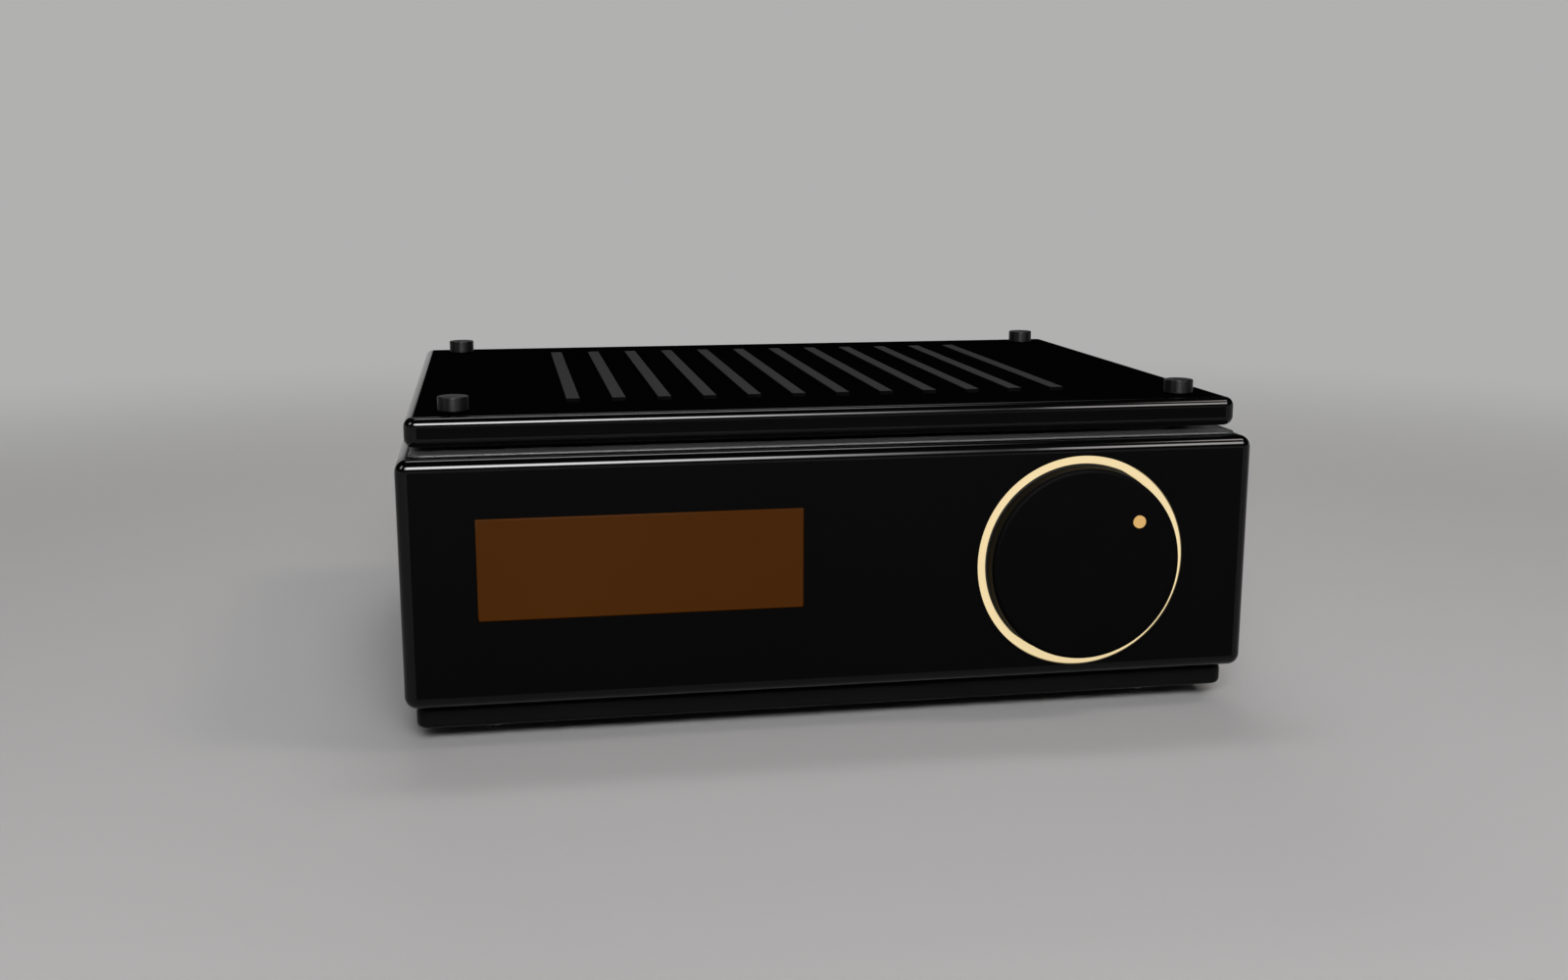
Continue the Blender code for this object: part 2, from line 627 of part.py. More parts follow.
def build_display(finishes):
    """Amber window with a lip behind the panel, and the lit panel and its board behind that."""
    left, right, low, high = display_edges()
    middle_x = (left + right) / 2
    middle_z = (low + high) / 2
    lip_back = WINDOW_FRONT_THICK + GAP + WINDOW_LIP_THICK
    shape = bmesh.new()
    place = Matrix.Translation((middle_x, FRONT_Y + lip_back, middle_z)) @ FACING_FRONT
    half_a = DISPLAY_WIDTH / 2 + WINDOW_LIP
    half_b = DISPLAY_HEIGHT / 2 + WINDOW_LIP
    profile = ((0.0, 0.0), (0.0, WINDOW_LIP_THICK), (WINDOW_LIP, WINDOW_LIP_THICK), (WINDOW_LIP, lip_back))
    add_slab(shape, half_a, half_b, GAP, profile, place)
    make_object("display_window", shape, finishes["amber_glass"])
    shape = bmesh.new()
    add_box(shape, (left, FRONT_Y + lip_back + GAP, low), (right, FRONT_BACK_Y, high))
    make_object("display_panel", shape, finishes["black_plastic"])
    board_front = FRONT_BACK_Y + GAP
    margin = WINDOW_LIP + DISPLAY_BOARD_MARGIN
    shape = bmesh.new()
    add_box(shape, (left - margin, board_front, low - margin),
            (right + margin, board_front + BOARD_THICK, high + margin))
    make_object("display_board", shape, finishes["board_green"])


def build_light_ring(finishes):
    """Diffuser ring in the panel, its ring of lamps, and the dark dial plate that fills its middle."""
    axis = Matrix.Translation((KNOB_X, FRONT_Y, KNOB_Z)) @ FACING_FRONT
    lip_front = -RING_DEPTH - GAP
    lip_back = lip_front - RING_LIP_THICK
    lip_radius = RING_OUTER_RADIUS + RING_LIP
    shape = bmesh.new()
    add_turned(shape, ((RING_INNER_RADIUS, lip_back), (lip_radius, lip_back), (lip_radius, lip_front),
                       (RING_OUTER_RADIUS, lip_front), (RING_OUTER_RADIUS, 0.0), (RING_INNER_RADIUS, 0.0)),
               FINE_SEGMENTS, axis, closed=True)
    make_object("light_ring", shape, finishes["warm_light"])
    board_front = lip_back - GAP
    board_back = board_front - BOARD_THICK
    bore = DIAL_BORE_RADIUS
    shape = bmesh.new()
    add_turned(shape, ((bore, board_back), (lip_radius, board_back), (lip_radius, board_front),
                       (bore, board_front)), ROUND_SEGMENTS, axis, closed=True)
    make_object("ring_light_board", shape, finishes["board_green"])
    dial_radius = RING_INNER_RADIUS - GAP
    dial_front = -KNOB_SUNK - RUN_GAP
    shape = bmesh.new()
    add_turned(shape, ((bore, lip_back), (dial_radius, lip_back), (dial_radius, dial_front),
                       (bore, dial_front)), FINE_SEGMENTS, axis, closed=True)
    make_object("dial_plate", shape, finishes["black_plastic"])


def build_volume_control(finishes):
    """Bracket behind the ring's board, the rotary control with its threaded bush, and the bush nut."""
    half = RING_OUTER_RADIUS + RING_LIP + BRACKET_SIDE_MARGIN
    shape = bmesh.new()
    add_box(shape, (KNOB_X - half, BRACKET_Y, FLOOR_TOP + GAP),
            (KNOB_X + half, BRACKET_Y + BRACKET_THICK, CASE_TOP - BRACKET_TOP_GAP))
    bracket = make_object("control_bracket", shape, finishes["steel"])
    axis = Matrix.Translation((KNOB_X, BRACKET_Y, KNOB_Z)) @ FACING_FRONT
    hole = bmesh.new()
    add_rod(hole, BUSH_RADIUS + GAP, -BRACKET_THICK - OVERLAP, OVERLAP, axis)
    boolean(bracket, hole, "DIFFERENCE")
    half = CONTROL_SIZE / 2
    bush_length = NUT_THICK + GAP + BRACKET_THICK + 2 * GAP
    shape = bmesh.new()
    add_box(shape, (KNOB_X - half, CONTROL_Y, KNOB_Z - half),
            (KNOB_X + half, CONTROL_Y + CONTROL_DEPTH, KNOB_Z + half))
    control = make_object("volume_control", shape, finishes["steel"])
    control_axis = Matrix.Translation((KNOB_X, CONTROL_Y, KNOB_Z)) @ FACING_FRONT
    bush = bmesh.new()
    add_rod(bush, BUSH_RADIUS, -OVERLAP, bush_length, control_axis)
    boolean(control, bush, "UNION")
    bore = bmesh.new()
    add_rod(bore, SHAFT_RADIUS + GAP, -CONTROL_DEPTH + OVERLAP, bush_length + OVERLAP, control_axis)
    boolean(control, bore, "DIFFERENCE")
    shape = bmesh.new()
    add_rod(shape, NUT_RADIUS, GAP, GAP + NUT_THICK, axis, NUT_SIDES)
    nut = make_object("control_nut", shape, finishes["steel"])
    hole = bmesh.new()
    add_rod(hole, BUSH_RADIUS + GAP, -OVERLAP, NUT_THICK + OVERLAP, axis)
    boolean(nut, hole, "DIFFERENCE")


def build_knob(finishes):
    """Knob, its lit pointer and its shaft share one empty on the turning axis."""
    pivot = bpy.data.objects.new("knob_axis", None)
    pivot.matrix_world = Matrix.Translation((KNOB_X, FRONT_Y, KNOB_Z)) @ FACING_FRONT
    bpy.context.scene.collection.objects.link(pivot)
    edge = KNOB_EDGE_RADIUS
    arc = [math.pi / 2 * step / ARC_STEPS for step in range(ARC_STEPS + 1)]
    hollow = KNOB_PROUD - KNOB_WALL
    bore = SHAFT_RADIUS + GAP
    shaft_tip = hollow - GAP
    profile = [(0.0, KNOB_PROUD)]
    profile += [(KNOB_RADIUS - edge + edge * math.sin(turn), KNOB_PROUD - edge + edge * math.cos(turn))
                for turn in arc]
    profile += [(KNOB_RADIUS, -KNOB_SUNK), (KNOB_RADIUS - KNOB_WALL, -KNOB_SUNK),
                (KNOB_RADIUS - KNOB_WALL, hollow), (KNOB_HUB_RADIUS, hollow), (KNOB_HUB_RADIUS, -KNOB_SUNK),
                (bore, -KNOB_SUNK), (bore, hollow), (0.0, hollow)]
    shape = bmesh.new()
    add_turned(shape, profile, FINE_SEGMENTS)
    knob = make_object("volume_knob", shape, finishes["gloss_black"])
    knob.parent = pivot
    angle = math.radians(POINTER_ANGLE)
    spot = Matrix.Translation((POINTER_REACH * math.sin(angle), POINTER_REACH * math.cos(angle), KNOB_PROUD))
    cut = bmesh.new()
    add_rod(cut, POINTER_RADIUS + GAP, -POINTER_DEPTH - GAP, OVERLAP, pivot.matrix_world @ spot)
    boolean(knob, cut, "DIFFERENCE")
    shape = bmesh.new()
    add_rod(shape, POINTER_RADIUS, -POINTER_DEPTH, 0.0, spot)
    pointer = make_object("knob_pointer", shape, finishes["amber_light"])
    pointer.parent = pivot
    tail = FRONT_Y - CONTROL_Y - CONTROL_DEPTH + OVERLAP + GAP
    shape = bmesh.new()
    add_rod(shape, SHAFT_RADIUS, tail, shaft_tip)
    shaft = make_object("volume_shaft", shape, finishes["brass"])
    shaft.parent = pivot


def amp_board_box():
    half = SINK_LEG_REACH - SINK_LEG_THICK - AMP_BOARD_GAP
    front = FRONT_Y + FIN_FRONT + AMP_BOARD_MARGIN
    back = FRONT_Y + FIN_FRONT + FIN_LENGTH - AMP_BOARD_MARGIN
    return (-half, front, BOARD_BOTTOM), (half, back, BOARD_TOP)


def tuner_board_box():
    left = -SIDE_IN_X + TUNER_BOARD_EDGE
    back = PANEL_IN_Y - TUNER_BOARD_EDGE
    return (left, back - TUNER_BOARD_LENGTH, BOARD_BOTTOM), (left + TUNER_BOARD_WIDTH, back, BOARD_TOP)


def build_boards(finishes):
    for name, corners in (("amplifier_board", amp_board_box()), ("tuner_board", tuner_board_box())):
        shape = bmesh.new()
        add_box(shape, *corners)
        make_object(name, shape, finishes["board_green"])


def build_capacitors(finishes):
    """Reservoir cans with a rolled groove near the foot and a rounded shoulder."""
    low = BOARD_TOP + GAP
    high = CAPACITOR_TOP
    roll = CAPACITOR_ROLL
    profile = ((0.0, low), (CAPACITOR_RADIUS, low), (CAPACITOR_RADIUS, low + roll),
               (CAPACITOR_RADIUS - roll, low + 2 * roll), (CAPACITOR_RADIUS, low + 3 * roll),
               (CAPACITOR_RADIUS, high - roll), (CAPACITOR_RADIUS - roll, high), (0.0, high))
    board_end, board_back, _ = amp_board_box()[1]
    for name, side in (("left", -1), ("right", 1)):
        place = (side * (board_end - CAPACITOR_SIDE), board_back - CAPACITOR_REAR, 0)
        shape = bmesh.new()
        add_turned(shape, profile, ROUND_SEGMENTS)
        make_object(f"reservoir_capacitor_{name}", shape, finishes["sleeve_blue"], place)


def build_transistors(finishes):
    """Output transistors against the inner faces of the heat sink's legs, just above the board."""
    face = SINK_LEG_REACH - SINK_LEG_THICK - GAP
    for side_name, side in (("left", -1), ("right", 1)):
        for row, row_name in enumerate(("front", "rear")):
            xs = sorted((side * face, side * (face - TRANSISTOR_THICK)))
            middle = FRONT_Y + FIN_FRONT + TRANSISTOR_FRONT + row * TRANSISTOR_PITCH
            shape = bmesh.new()
            add_box(shape, (xs[0], middle - TRANSISTOR_WIDTH / 2, BOARD_TOP + GAP),
                    (xs[1], middle + TRANSISTOR_WIDTH / 2, BOARD_TOP + GAP + TRANSISTOR_HEIGHT))
            make_object(f"output_transistor_{side_name}_{row_name}", shape, finishes["black_plastic"])


def build_transformer(finishes):
    """Laminated core with two windows, and the winding on its middle limb."""
    x = SIDE_IN_X - CORE_PLACE_X
    y = FRONT_Y + CORE_PLACE_Y
    low = FLOOR_TOP + GAP
    half_x = CORE_THICK / 2
    half_y = CORE_LENGTH / 2
    shape = bmesh.new()
    add_box(shape, (x - half_x, y - half_y, low), (x + half_x, y + half_y, low + CORE_HEIGHT))
    core = make_object("transformer_core", shape, finishes["steel"])
    windows = bmesh.new()
    for side in (-1, 1):
        ys = sorted((y + side * CORE_LIMB, y + side * (half_y - CORE_LIMB)))
        add_box(windows, (x - half_x - OVERLAP, ys[0], low + CORE_LIMB),
                (x + half_x + OVERLAP, ys[1], low + CORE_HEIGHT - CORE_LIMB))
    boolean(core, windows, "DIFFERENCE")
    wall_y = half_y - 2 * CORE_LIMB - 2 * GAP
    shape = bmesh.new()
    place = Matrix.Translation((x, y, low + CORE_LIMB + GAP))
    height = CORE_HEIGHT - 2 * CORE_LIMB - 2 * GAP
    outer = rounded_loop(half_x + WINDING_BULGE, CORE_LIMB + GAP + wall_y, WINDING_CORNER)
    inner = rounded_loop(half_x + GAP, CORE_LIMB + GAP, GAP)
    loops = [[place @ Vector((a, b, level)) for a, b in loop]
             for loop, level in ((outer, 0.0), (outer, height), (inner, height), (inner, 0.0))]
    add_loops(shape, loops, closed=True)
    make_object("transformer_winding", shape, finishes["copper"])


def rear_place(x, z, y):
    """Local Z runs straight out of the rear panel."""
    return Matrix.Translation((x, y, z)) @ FACING_REAR


def terminal_centres():
    return [(rear_x(TERMINAL_FIRST + pair * TERMINAL_PAIR_PITCH + step * TERMINAL_PITCH),
             CASE_BOTTOM + TERMINAL_RISE) for pair in range(2) for step in range(2)]


def build_terminals(finishes):
    """Four binding posts. Each cap screws along its stud behind a washer, with its origin on that axis."""
    flange = GAP + POST_FLANGE_THICK
    end = TERMINAL_REACH - GAP
    bore_end = flange + GAP
    post = ((0.0, -REAR_THICK - POST_INSIDE), (STUD_RADIUS, -REAR_THICK - POST_INSIDE),
            (STUD_RADIUS, -REAR_THICK), (POST_COLLAR_RADIUS, -REAR_THICK), (POST_COLLAR_RADIUS, GAP),
            (POST_FLANGE_RADIUS, GAP), (POST_FLANGE_RADIUS, flange), (STUD_RADIUS, flange),
            (STUD_RADIUS, end), (STUD_BORE_RADIUS, end), (STUD_BORE_RADIUS, bore_end), (0.0, bore_end))
    bore = STUD_RADIUS + GAP
    washer_low = flange + GAP
    washer_high = washer_low + WASHER_THICK
    washer = ((bore, washer_low), (WASHER_RADIUS, washer_low), (WASHER_RADIUS, washer_high),
              (bore, washer_high))
    cap_low = washer_high + GAP
    cap_high = TERMINAL_REACH
    cap = ((bore, cap_low), (CAP_RADIUS, cap_low, CAP_FLUTE), (CAP_RADIUS, cap_high, CAP_FLUTE),
           (bore, cap_high))
    names = ("right_minus", "right_plus", "left_minus", "left_plus")
    for name, (x, z) in zip(names, terminal_centres()):
        turn = rear_place(x, z, PANEL_OUT_Y)
        shape = bmesh.new()
        add_turned(shape, post, SMALL_SEGMENTS)
        make_object(f"speaker_post_{name}", shape, finishes["brass"]).matrix_world = turn
        shape = bmesh.new()
        add_turned(shape, washer, SMALL_SEGMENTS, closed=True)
        make_object(f"post_washer_{name}", shape, finishes["steel"]).matrix_world = turn
        colour = finishes["red_plastic" if name.endswith("plus") else "black_plastic"]
        shape = bmesh.new()
        add_turned(shape, cap, ROUND_SEGMENTS, closed=True)
        make_object(f"post_cap_{name}", shape, colour).matrix_world = turn


def jack_centres():
    (left, _, _), (right, _, top) = tuner_board_box()
    middle = (left + right) / 2
    first = top + GAP + JACK_BLOCK_MARGIN
    return [(middle + (column - (JACK_COLUMNS - 1) / 2) * JACK_PITCH, first + row * JACK_PITCH)
            for row in range(JACK_ROWS) for column in range(JACK_COLUMNS)]


def build_jacks(finishes):
    """Block of phono sockets standing on the tuner board, its barrels through the rear panel."""
    centres = jack_centres()
    low = Vector((centres[0][0], 0, centres[0][1])) - Vector((JACK_BLOCK_MARGIN, 0, JACK_BLOCK_MARGIN))
    high = Vector((centres[-1][0], 0, centres[-1][1])) + Vector((JACK_BLOCK_MARGIN, 0, JACK_BLOCK_MARGIN))
    back = PANEL_IN_Y - GAP
    shape = bmesh.new()
    add_box(shape, (low.x, back - JACK_BLOCK_DEPTH, low.z), (high.x, back, high.z))
    block = make_object("input_jacks", shape, finishes["black_plastic"])
    barrels = bmesh.new()
    bores = bmesh.new()
    reach = REAR_THICK + GAP + JACK_REACH
    for x, z in centres:
        add_rod(barrels, JACK_RADIUS, -OVERLAP, reach, rear_place(x, z, back))
        add_rod(bores, JACK_BORE_RADIUS, OVERLAP, reach + OVERLAP, rear_place(x, z, back), PEG_SEGMENTS)
    boolean(block, barrels, "UNION")
    boolean(block, bores, "DIFFERENCE")


def antenna_place(y):
    return rear_place(-rear_x(ANTENNA_PLACE), CASE_TOP - ANTENNA_DROP, y)


def build_antenna_socket(finishes):
    """Coaxial aerial socket with its centre pin."""
    flange = GAP + POST_FLANGE_THICK
    pin_tip = ANTENNA_REACH - OVERLAP
    profile = ((0.0, -REAR_THICK - POST_INSIDE), (ANTENNA_RADIUS, -REAR_THICK - POST_INSIDE),
               (ANTENNA_RADIUS, GAP), (ANTENNA_FLANGE_RADIUS, GAP), (ANTENNA_FLANGE_RADIUS, flange),
               (ANTENNA_RADIUS, flange), (ANTENNA_RADIUS, ANTENNA_REACH),
               (ANTENNA_BORE_RADIUS, ANTENNA_REACH), (ANTENNA_BORE_RADIUS, flange),
               (ANTENNA_PIN_RADIUS, flange), (ANTENNA_PIN_RADIUS, pin_tip),
               (0.0, pin_tip))
    shape = bmesh.new()
    add_turned(shape, profile, SMALL_SEGMENTS)
    make_object("antenna_socket", shape, finishes["steel"]).matrix_world = antenna_place(PANEL_OUT_Y)


def inlet_centre():
    return rear_x(INLET_PLACE), CASE_BOTTOM + INLET_RISE


def build_mains_inlet(finishes):
    """Three-pin appliance inlet: a flanged box with a deep recess round its pins."""
    x, z = inlet_centre()
    half_a = INLET_WIDTH / 2
    half_b = INLET_HEIGHT / 2
    seat = PANEL_OUT_Y + GAP
    outer = seat + INLET_FLANGE_THICK
    shape = bmesh.new()
    place = rear_place(x, z, seat - INLET_DEPTH)
    profile = ((INLET_FLANGE, 0.0), (INLET_FLANGE, INLET_DEPTH), (0.0, INLET_DEPTH),
               (0.0, INLET_DEPTH + INLET_FLANGE_THICK))
    add_slab(shape, half_a + INLET_FLANGE, half_b + INLET_FLANGE, INLET_FLANGE, profile, place)
    inlet = make_object("mains_inlet", shape, finishes["black_plastic"])
    recess = bmesh.new()
    floor = outer - INLET_RECESS
    wide = half_a - INLET_WALL
    high = half_b - INLET_WALL
    notch = INLET_CORNER_CUT
    outline = ((x - wide, z - high), (x + wide, z - high), (x + wide, z + high - notch),
               (x + wide - notch, z + high), (x - wide + notch, z + high), (x - wide, z + high - notch))
    add_extrusion(recess, outline, "Y", floor, outer + OVERLAP)
    boolean(inlet, recess, "DIFFERENCE")
    pins = bmesh.new()
    for pin_x, pin_z in ((-PIN_SPREAD, -PIN_HEIGHT / 2), (PIN_SPREAD, -PIN_HEIGHT / 2), (0.0, PIN_HEIGHT)):
        add_box(pins, (x + pin_x - PIN_WIDTH / 2, floor - OVERLAP, z + pin_z - PIN_HEIGHT / 2),
                (x + pin_x + PIN_WIDTH / 2, floor + PIN_LENGTH, z + pin_z + PIN_HEIGHT / 2))
    boolean(inlet, pins, "UNION")


def switch_centre():
    return rear_x(SWITCH_PLACE), CASE_TOP - SWITCH_DROP


def rocker_rise():
    """How far the rocker's ends stand out of its pivot, before it is tilted."""
    return ROCKER_FACE + ROCKER_HALF_LENGTH * math.tan(math.radians(ROCKER_TILT))


def switch_body_half():
    """Half the frame's width and height, whose well clears the rocker's swing."""
    tilt = math.radians(ROCKER_TILT)
    swing = ROCKER_HALF_LENGTH * math.cos(tilt) + rocker_rise() * math.sin(tilt) + RUN_GAP
    return ROCKER_WIDTH / 2 + GAP + SWITCH_WALL, swing + SWITCH_WALL


def build_power_switch(finishes):
    """Rocker in a flanged frame. It turns about a level axis through its own origin."""
    x, z = switch_centre()
    half_a, half_b = switch_body_half()
    seat = PANEL_OUT_Y + GAP
    bottom = seat - ROCKER_DEPTH - RUN_GAP
    shape = bmesh.new()
    depth = seat - bottom + SWITCH_WALL
    profile = ((SWITCH_FLANGE, 0.0), (SWITCH_FLANGE, depth), (0.0, depth), (0.0, depth + SWITCH_FLANGE_THICK))
    add_slab(shape, half_a + SWITCH_FLANGE, half_b + SWITCH_FLANGE, SWITCH_FLANGE / 2, profile,
             rear_place(x, z, bottom - SWITCH_WALL))
    frame = make_object("power_switch_frame", shape, finishes["black_plastic"])
    well = bmesh.new()
    add_box(well, (x - half_a + SWITCH_WALL, bottom, z - half_b + SWITCH_WALL),
            (x + half_a - SWITCH_WALL, seat + SWITCH_FLANGE_THICK + OVERLAP, z + half_b - SWITCH_WALL))
    boolean(frame, well, "DIFFERENCE")
    rise = rocker_rise()
    outline = [(ROCKER_FACE, 0.0), (rise, ROCKER_HALF_LENGTH)]
    for step in range(2 * ARC_STEPS + 1):
        angle = math.pi * step / (2 * ARC_STEPS)
        outline.append((-ROCKER_DEPTH * math.sin(angle), ROCKER_HALF_LENGTH * math.cos(angle)))
    outline.append((rise, -ROCKER_HALF_LENGTH))
    shape = bmesh.new()
    add_extrusion(shape, outline, "X", -ROCKER_WIDTH / 2, ROCKER_WIDTH / 2)
    rocker = make_object("power_rocker", shape, finishes["black_plastic"], (x, seat, z))
    rocker.rotation_euler = (math.radians(ROCKER_TILT), 0, 0)


def main():
    clear_scene()
    finishes = make_finishes()
    build_front_panel(finishes)
    build_side_panel("side_panel_left", -1, finishes)
    build_side_panel("side_panel_right", 1, finishes)
    build_rear_panel(finishes)
    build_floor(finishes)
    build_base_plate(finishes)
    build_feet(finishes)
    build_deck(finishes)
    build_lid(finishes)
    build_lid_screws(finishes)
    build_heat_sink(finishes)
    build_display(finishes)
    build_light_ring(finishes)
    build_volume_control(finishes)
    build_knob(finishes)
    build_boards(finishes)
    build_capacitors(finishes)
    build_transistors(finishes)
    build_transformer(finishes)
    build_terminals(finishes)
    build_jacks(finishes)
    build_antenna_socket(finishes)
    build_mains_inlet(finishes)
    build_power_switch(finishes)
    bpy.context.view_layer.update()


main()
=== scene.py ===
"""Looks of a stereo receiver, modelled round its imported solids.

Metres, +Z up, front towards -Y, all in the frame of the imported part.
"""

import math

import bmesh
import bpy
from mathutils import Matrix, Vector


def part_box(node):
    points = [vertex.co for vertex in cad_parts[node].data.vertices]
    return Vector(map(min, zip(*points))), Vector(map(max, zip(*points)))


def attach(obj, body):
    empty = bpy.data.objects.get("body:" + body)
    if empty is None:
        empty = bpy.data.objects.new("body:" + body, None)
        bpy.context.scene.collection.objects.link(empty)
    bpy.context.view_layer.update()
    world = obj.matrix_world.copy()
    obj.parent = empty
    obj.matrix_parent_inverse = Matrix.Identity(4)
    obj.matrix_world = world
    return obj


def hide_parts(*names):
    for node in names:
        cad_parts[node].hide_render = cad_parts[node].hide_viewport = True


bl_info = {
    "name": "Stereo receiver looks",
    "version": (1, 0, 0),
    "blender": (4, 5, 0),
    "location": "3D View > Sidebar > Receiver",
    "description": "Models and finishes the visible pieces of a stereo receiver",
    "category": "Object",
}

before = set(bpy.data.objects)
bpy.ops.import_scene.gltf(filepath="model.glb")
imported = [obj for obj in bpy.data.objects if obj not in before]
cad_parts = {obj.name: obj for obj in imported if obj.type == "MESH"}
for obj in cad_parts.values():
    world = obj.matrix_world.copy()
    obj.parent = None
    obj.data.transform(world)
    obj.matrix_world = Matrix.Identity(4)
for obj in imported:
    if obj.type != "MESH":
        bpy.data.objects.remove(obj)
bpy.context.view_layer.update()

# Modelling steps and small distances
ROUND_STEPS = 160
MIDDLE_STEPS = 64
SMALL_STEPS = 32
EDGE_STEPS = 10
FINE_EDGE_STEPS = 3
OVERLAP = 0.001
NEAR = 0.00001
MERGE = 0.000001
SMOOTH_ANGLE = math.radians(32)

FACING_FRONT = Matrix.Rotation(math.radians(90), 4, "X")
FACING_REAR = Matrix.Rotation(math.radians(-90), 4, "X")

# Shares of a form's own size
BLOCK_DROP = 3
CROSS_LENGTH = 0.62
CROSS_WIDTH = 0.16
CROSS_FLOOR = 0.45
CAP_COLLAR = 1 / 4
MARK_SIZE = 1 / 5
MARK_STROKE = 1 / 3
CHAMFER_SHARE = 1 / 4

# Finishes: the middle stretch of a noise that a range is spread over, the detail of clouds and grain,
# the spacing of a wave's ridges at scale 1, how strongly a surface mirrors, how much of its glow's
# shade a lit piece has by itself, the turning lines of metal, and where the fins' painted lit tops
# start
NOISE_SPAN = (0.3, 0.7)
CLOUD_DETAIL = 5.0
GRAIN_DETAIL = 3.0
RIDGE_SPACING = math.pi / 10
POLISHED = 0.24
DULLED = 0.06
MATT = 0.0
DECK_SHEEN = 0.18
BASE_SHEEN = 0.07
WINDOW_BODY = 1 / 12
DIFFUSER_BODY = 0.08
TURNING_PITCH = 0.00022
TURNING_DEPTH = 0.000006
SCREW_PITCH = 0.00025
SCREW_DEPTH = 0.000004
SCREW_STREAK = 0.8
QUARTER_TURN = 0.25
FIN_PAINTED_LIGHT_FADE = (0.00025, 0.00005)

# Stage: floor and room fades, camera, and the soft lamps as name, place, size, plateau, radiance, shade
# and whether they light matt surfaces and show in gloss. A plateau is in shares of its panel.
FLOOR_RADIUS = 8.0
PANEL_EDGE = 0.5
FLOOR_FADE = (0.45, 1.2)
ROOM_FADE = (math.sin(math.radians(6.0)), math.sin(math.radians(9.0)))
SENSOR_WIDTH = 36.0
CLIP_START = 0.01
LAMP_AIM = Vector((0.0, 0.0, 0.08))
LAMPS = (
    ("key", (-0.15, -1.45, 0.98), (1.60, 0.62), (0.00, 0.30), 19.0, (1.0, 0.985, 1.0), (True, False)),
    ("gleam", (-0.15, -1.38, 1.04), (1.60, 0.70), (0.00, 0.30), 38.0, (1.0, 0.985, 1.0), (False, True)),
    ("right", (0.85, -1.35, 1.12), (1.10, 0.66), (0.10, 0.25), 16.0, (1.0, 0.95, 0.94), (False, True)),
    ("left", (-1.30, -0.55, 1.10), (0.45, 0.80), (0.18, 0.25), 14.0, (1.0, 0.99, 0.98), (False, True)),
    ("crown", (0.05, 0.52, 1.75), (1.30, 0.34), (0.18, 0.25), 9.0, (0.98, 0.985, 1.0), (True, True)),
    ("warm", (1.00, -0.50, 1.60), (0.50, 0.50), (0.18, 0.25), 12.0, (1.0, 0.94, 0.90), (True, True)),
    ("rear", (0.10, 1.75, 1.05), (1.80, 0.60), (0.18, 0.25), 6.0, (1.0, 0.99, 0.97), (True, False)),
    ("rear_gleam", (0.10, 1.73, 1.04), (1.80, 0.60), (0.18, 0.25), 1.0, (1.0, 0.99, 0.97),
     (False, True)),
)

CORNERS = ("front_left", "front_right", "rear_left", "rear_right")
POSTS = ("right_minus", "right_plus", "left_minus", "left_plus")


def length(name, description, default):
    """A size that a user may change, in metres."""
    return bpy.props.FloatProperty(name=name, description=description, default=default, min=0.0,
                                   precision=5, unit="LENGTH")


def number(name, description, default):
    """A count that a user may change."""
    return bpy.props.IntProperty(name=name, description=description, default=default, min=1)


def colour(name, description, default):
    """A linear colour that a user may change."""
    return bpy.props.FloatVectorProperty(name=name, description=description, default=default, size=3,
                                         min=0.0, max=1.0, precision=4, subtype="COLOR")


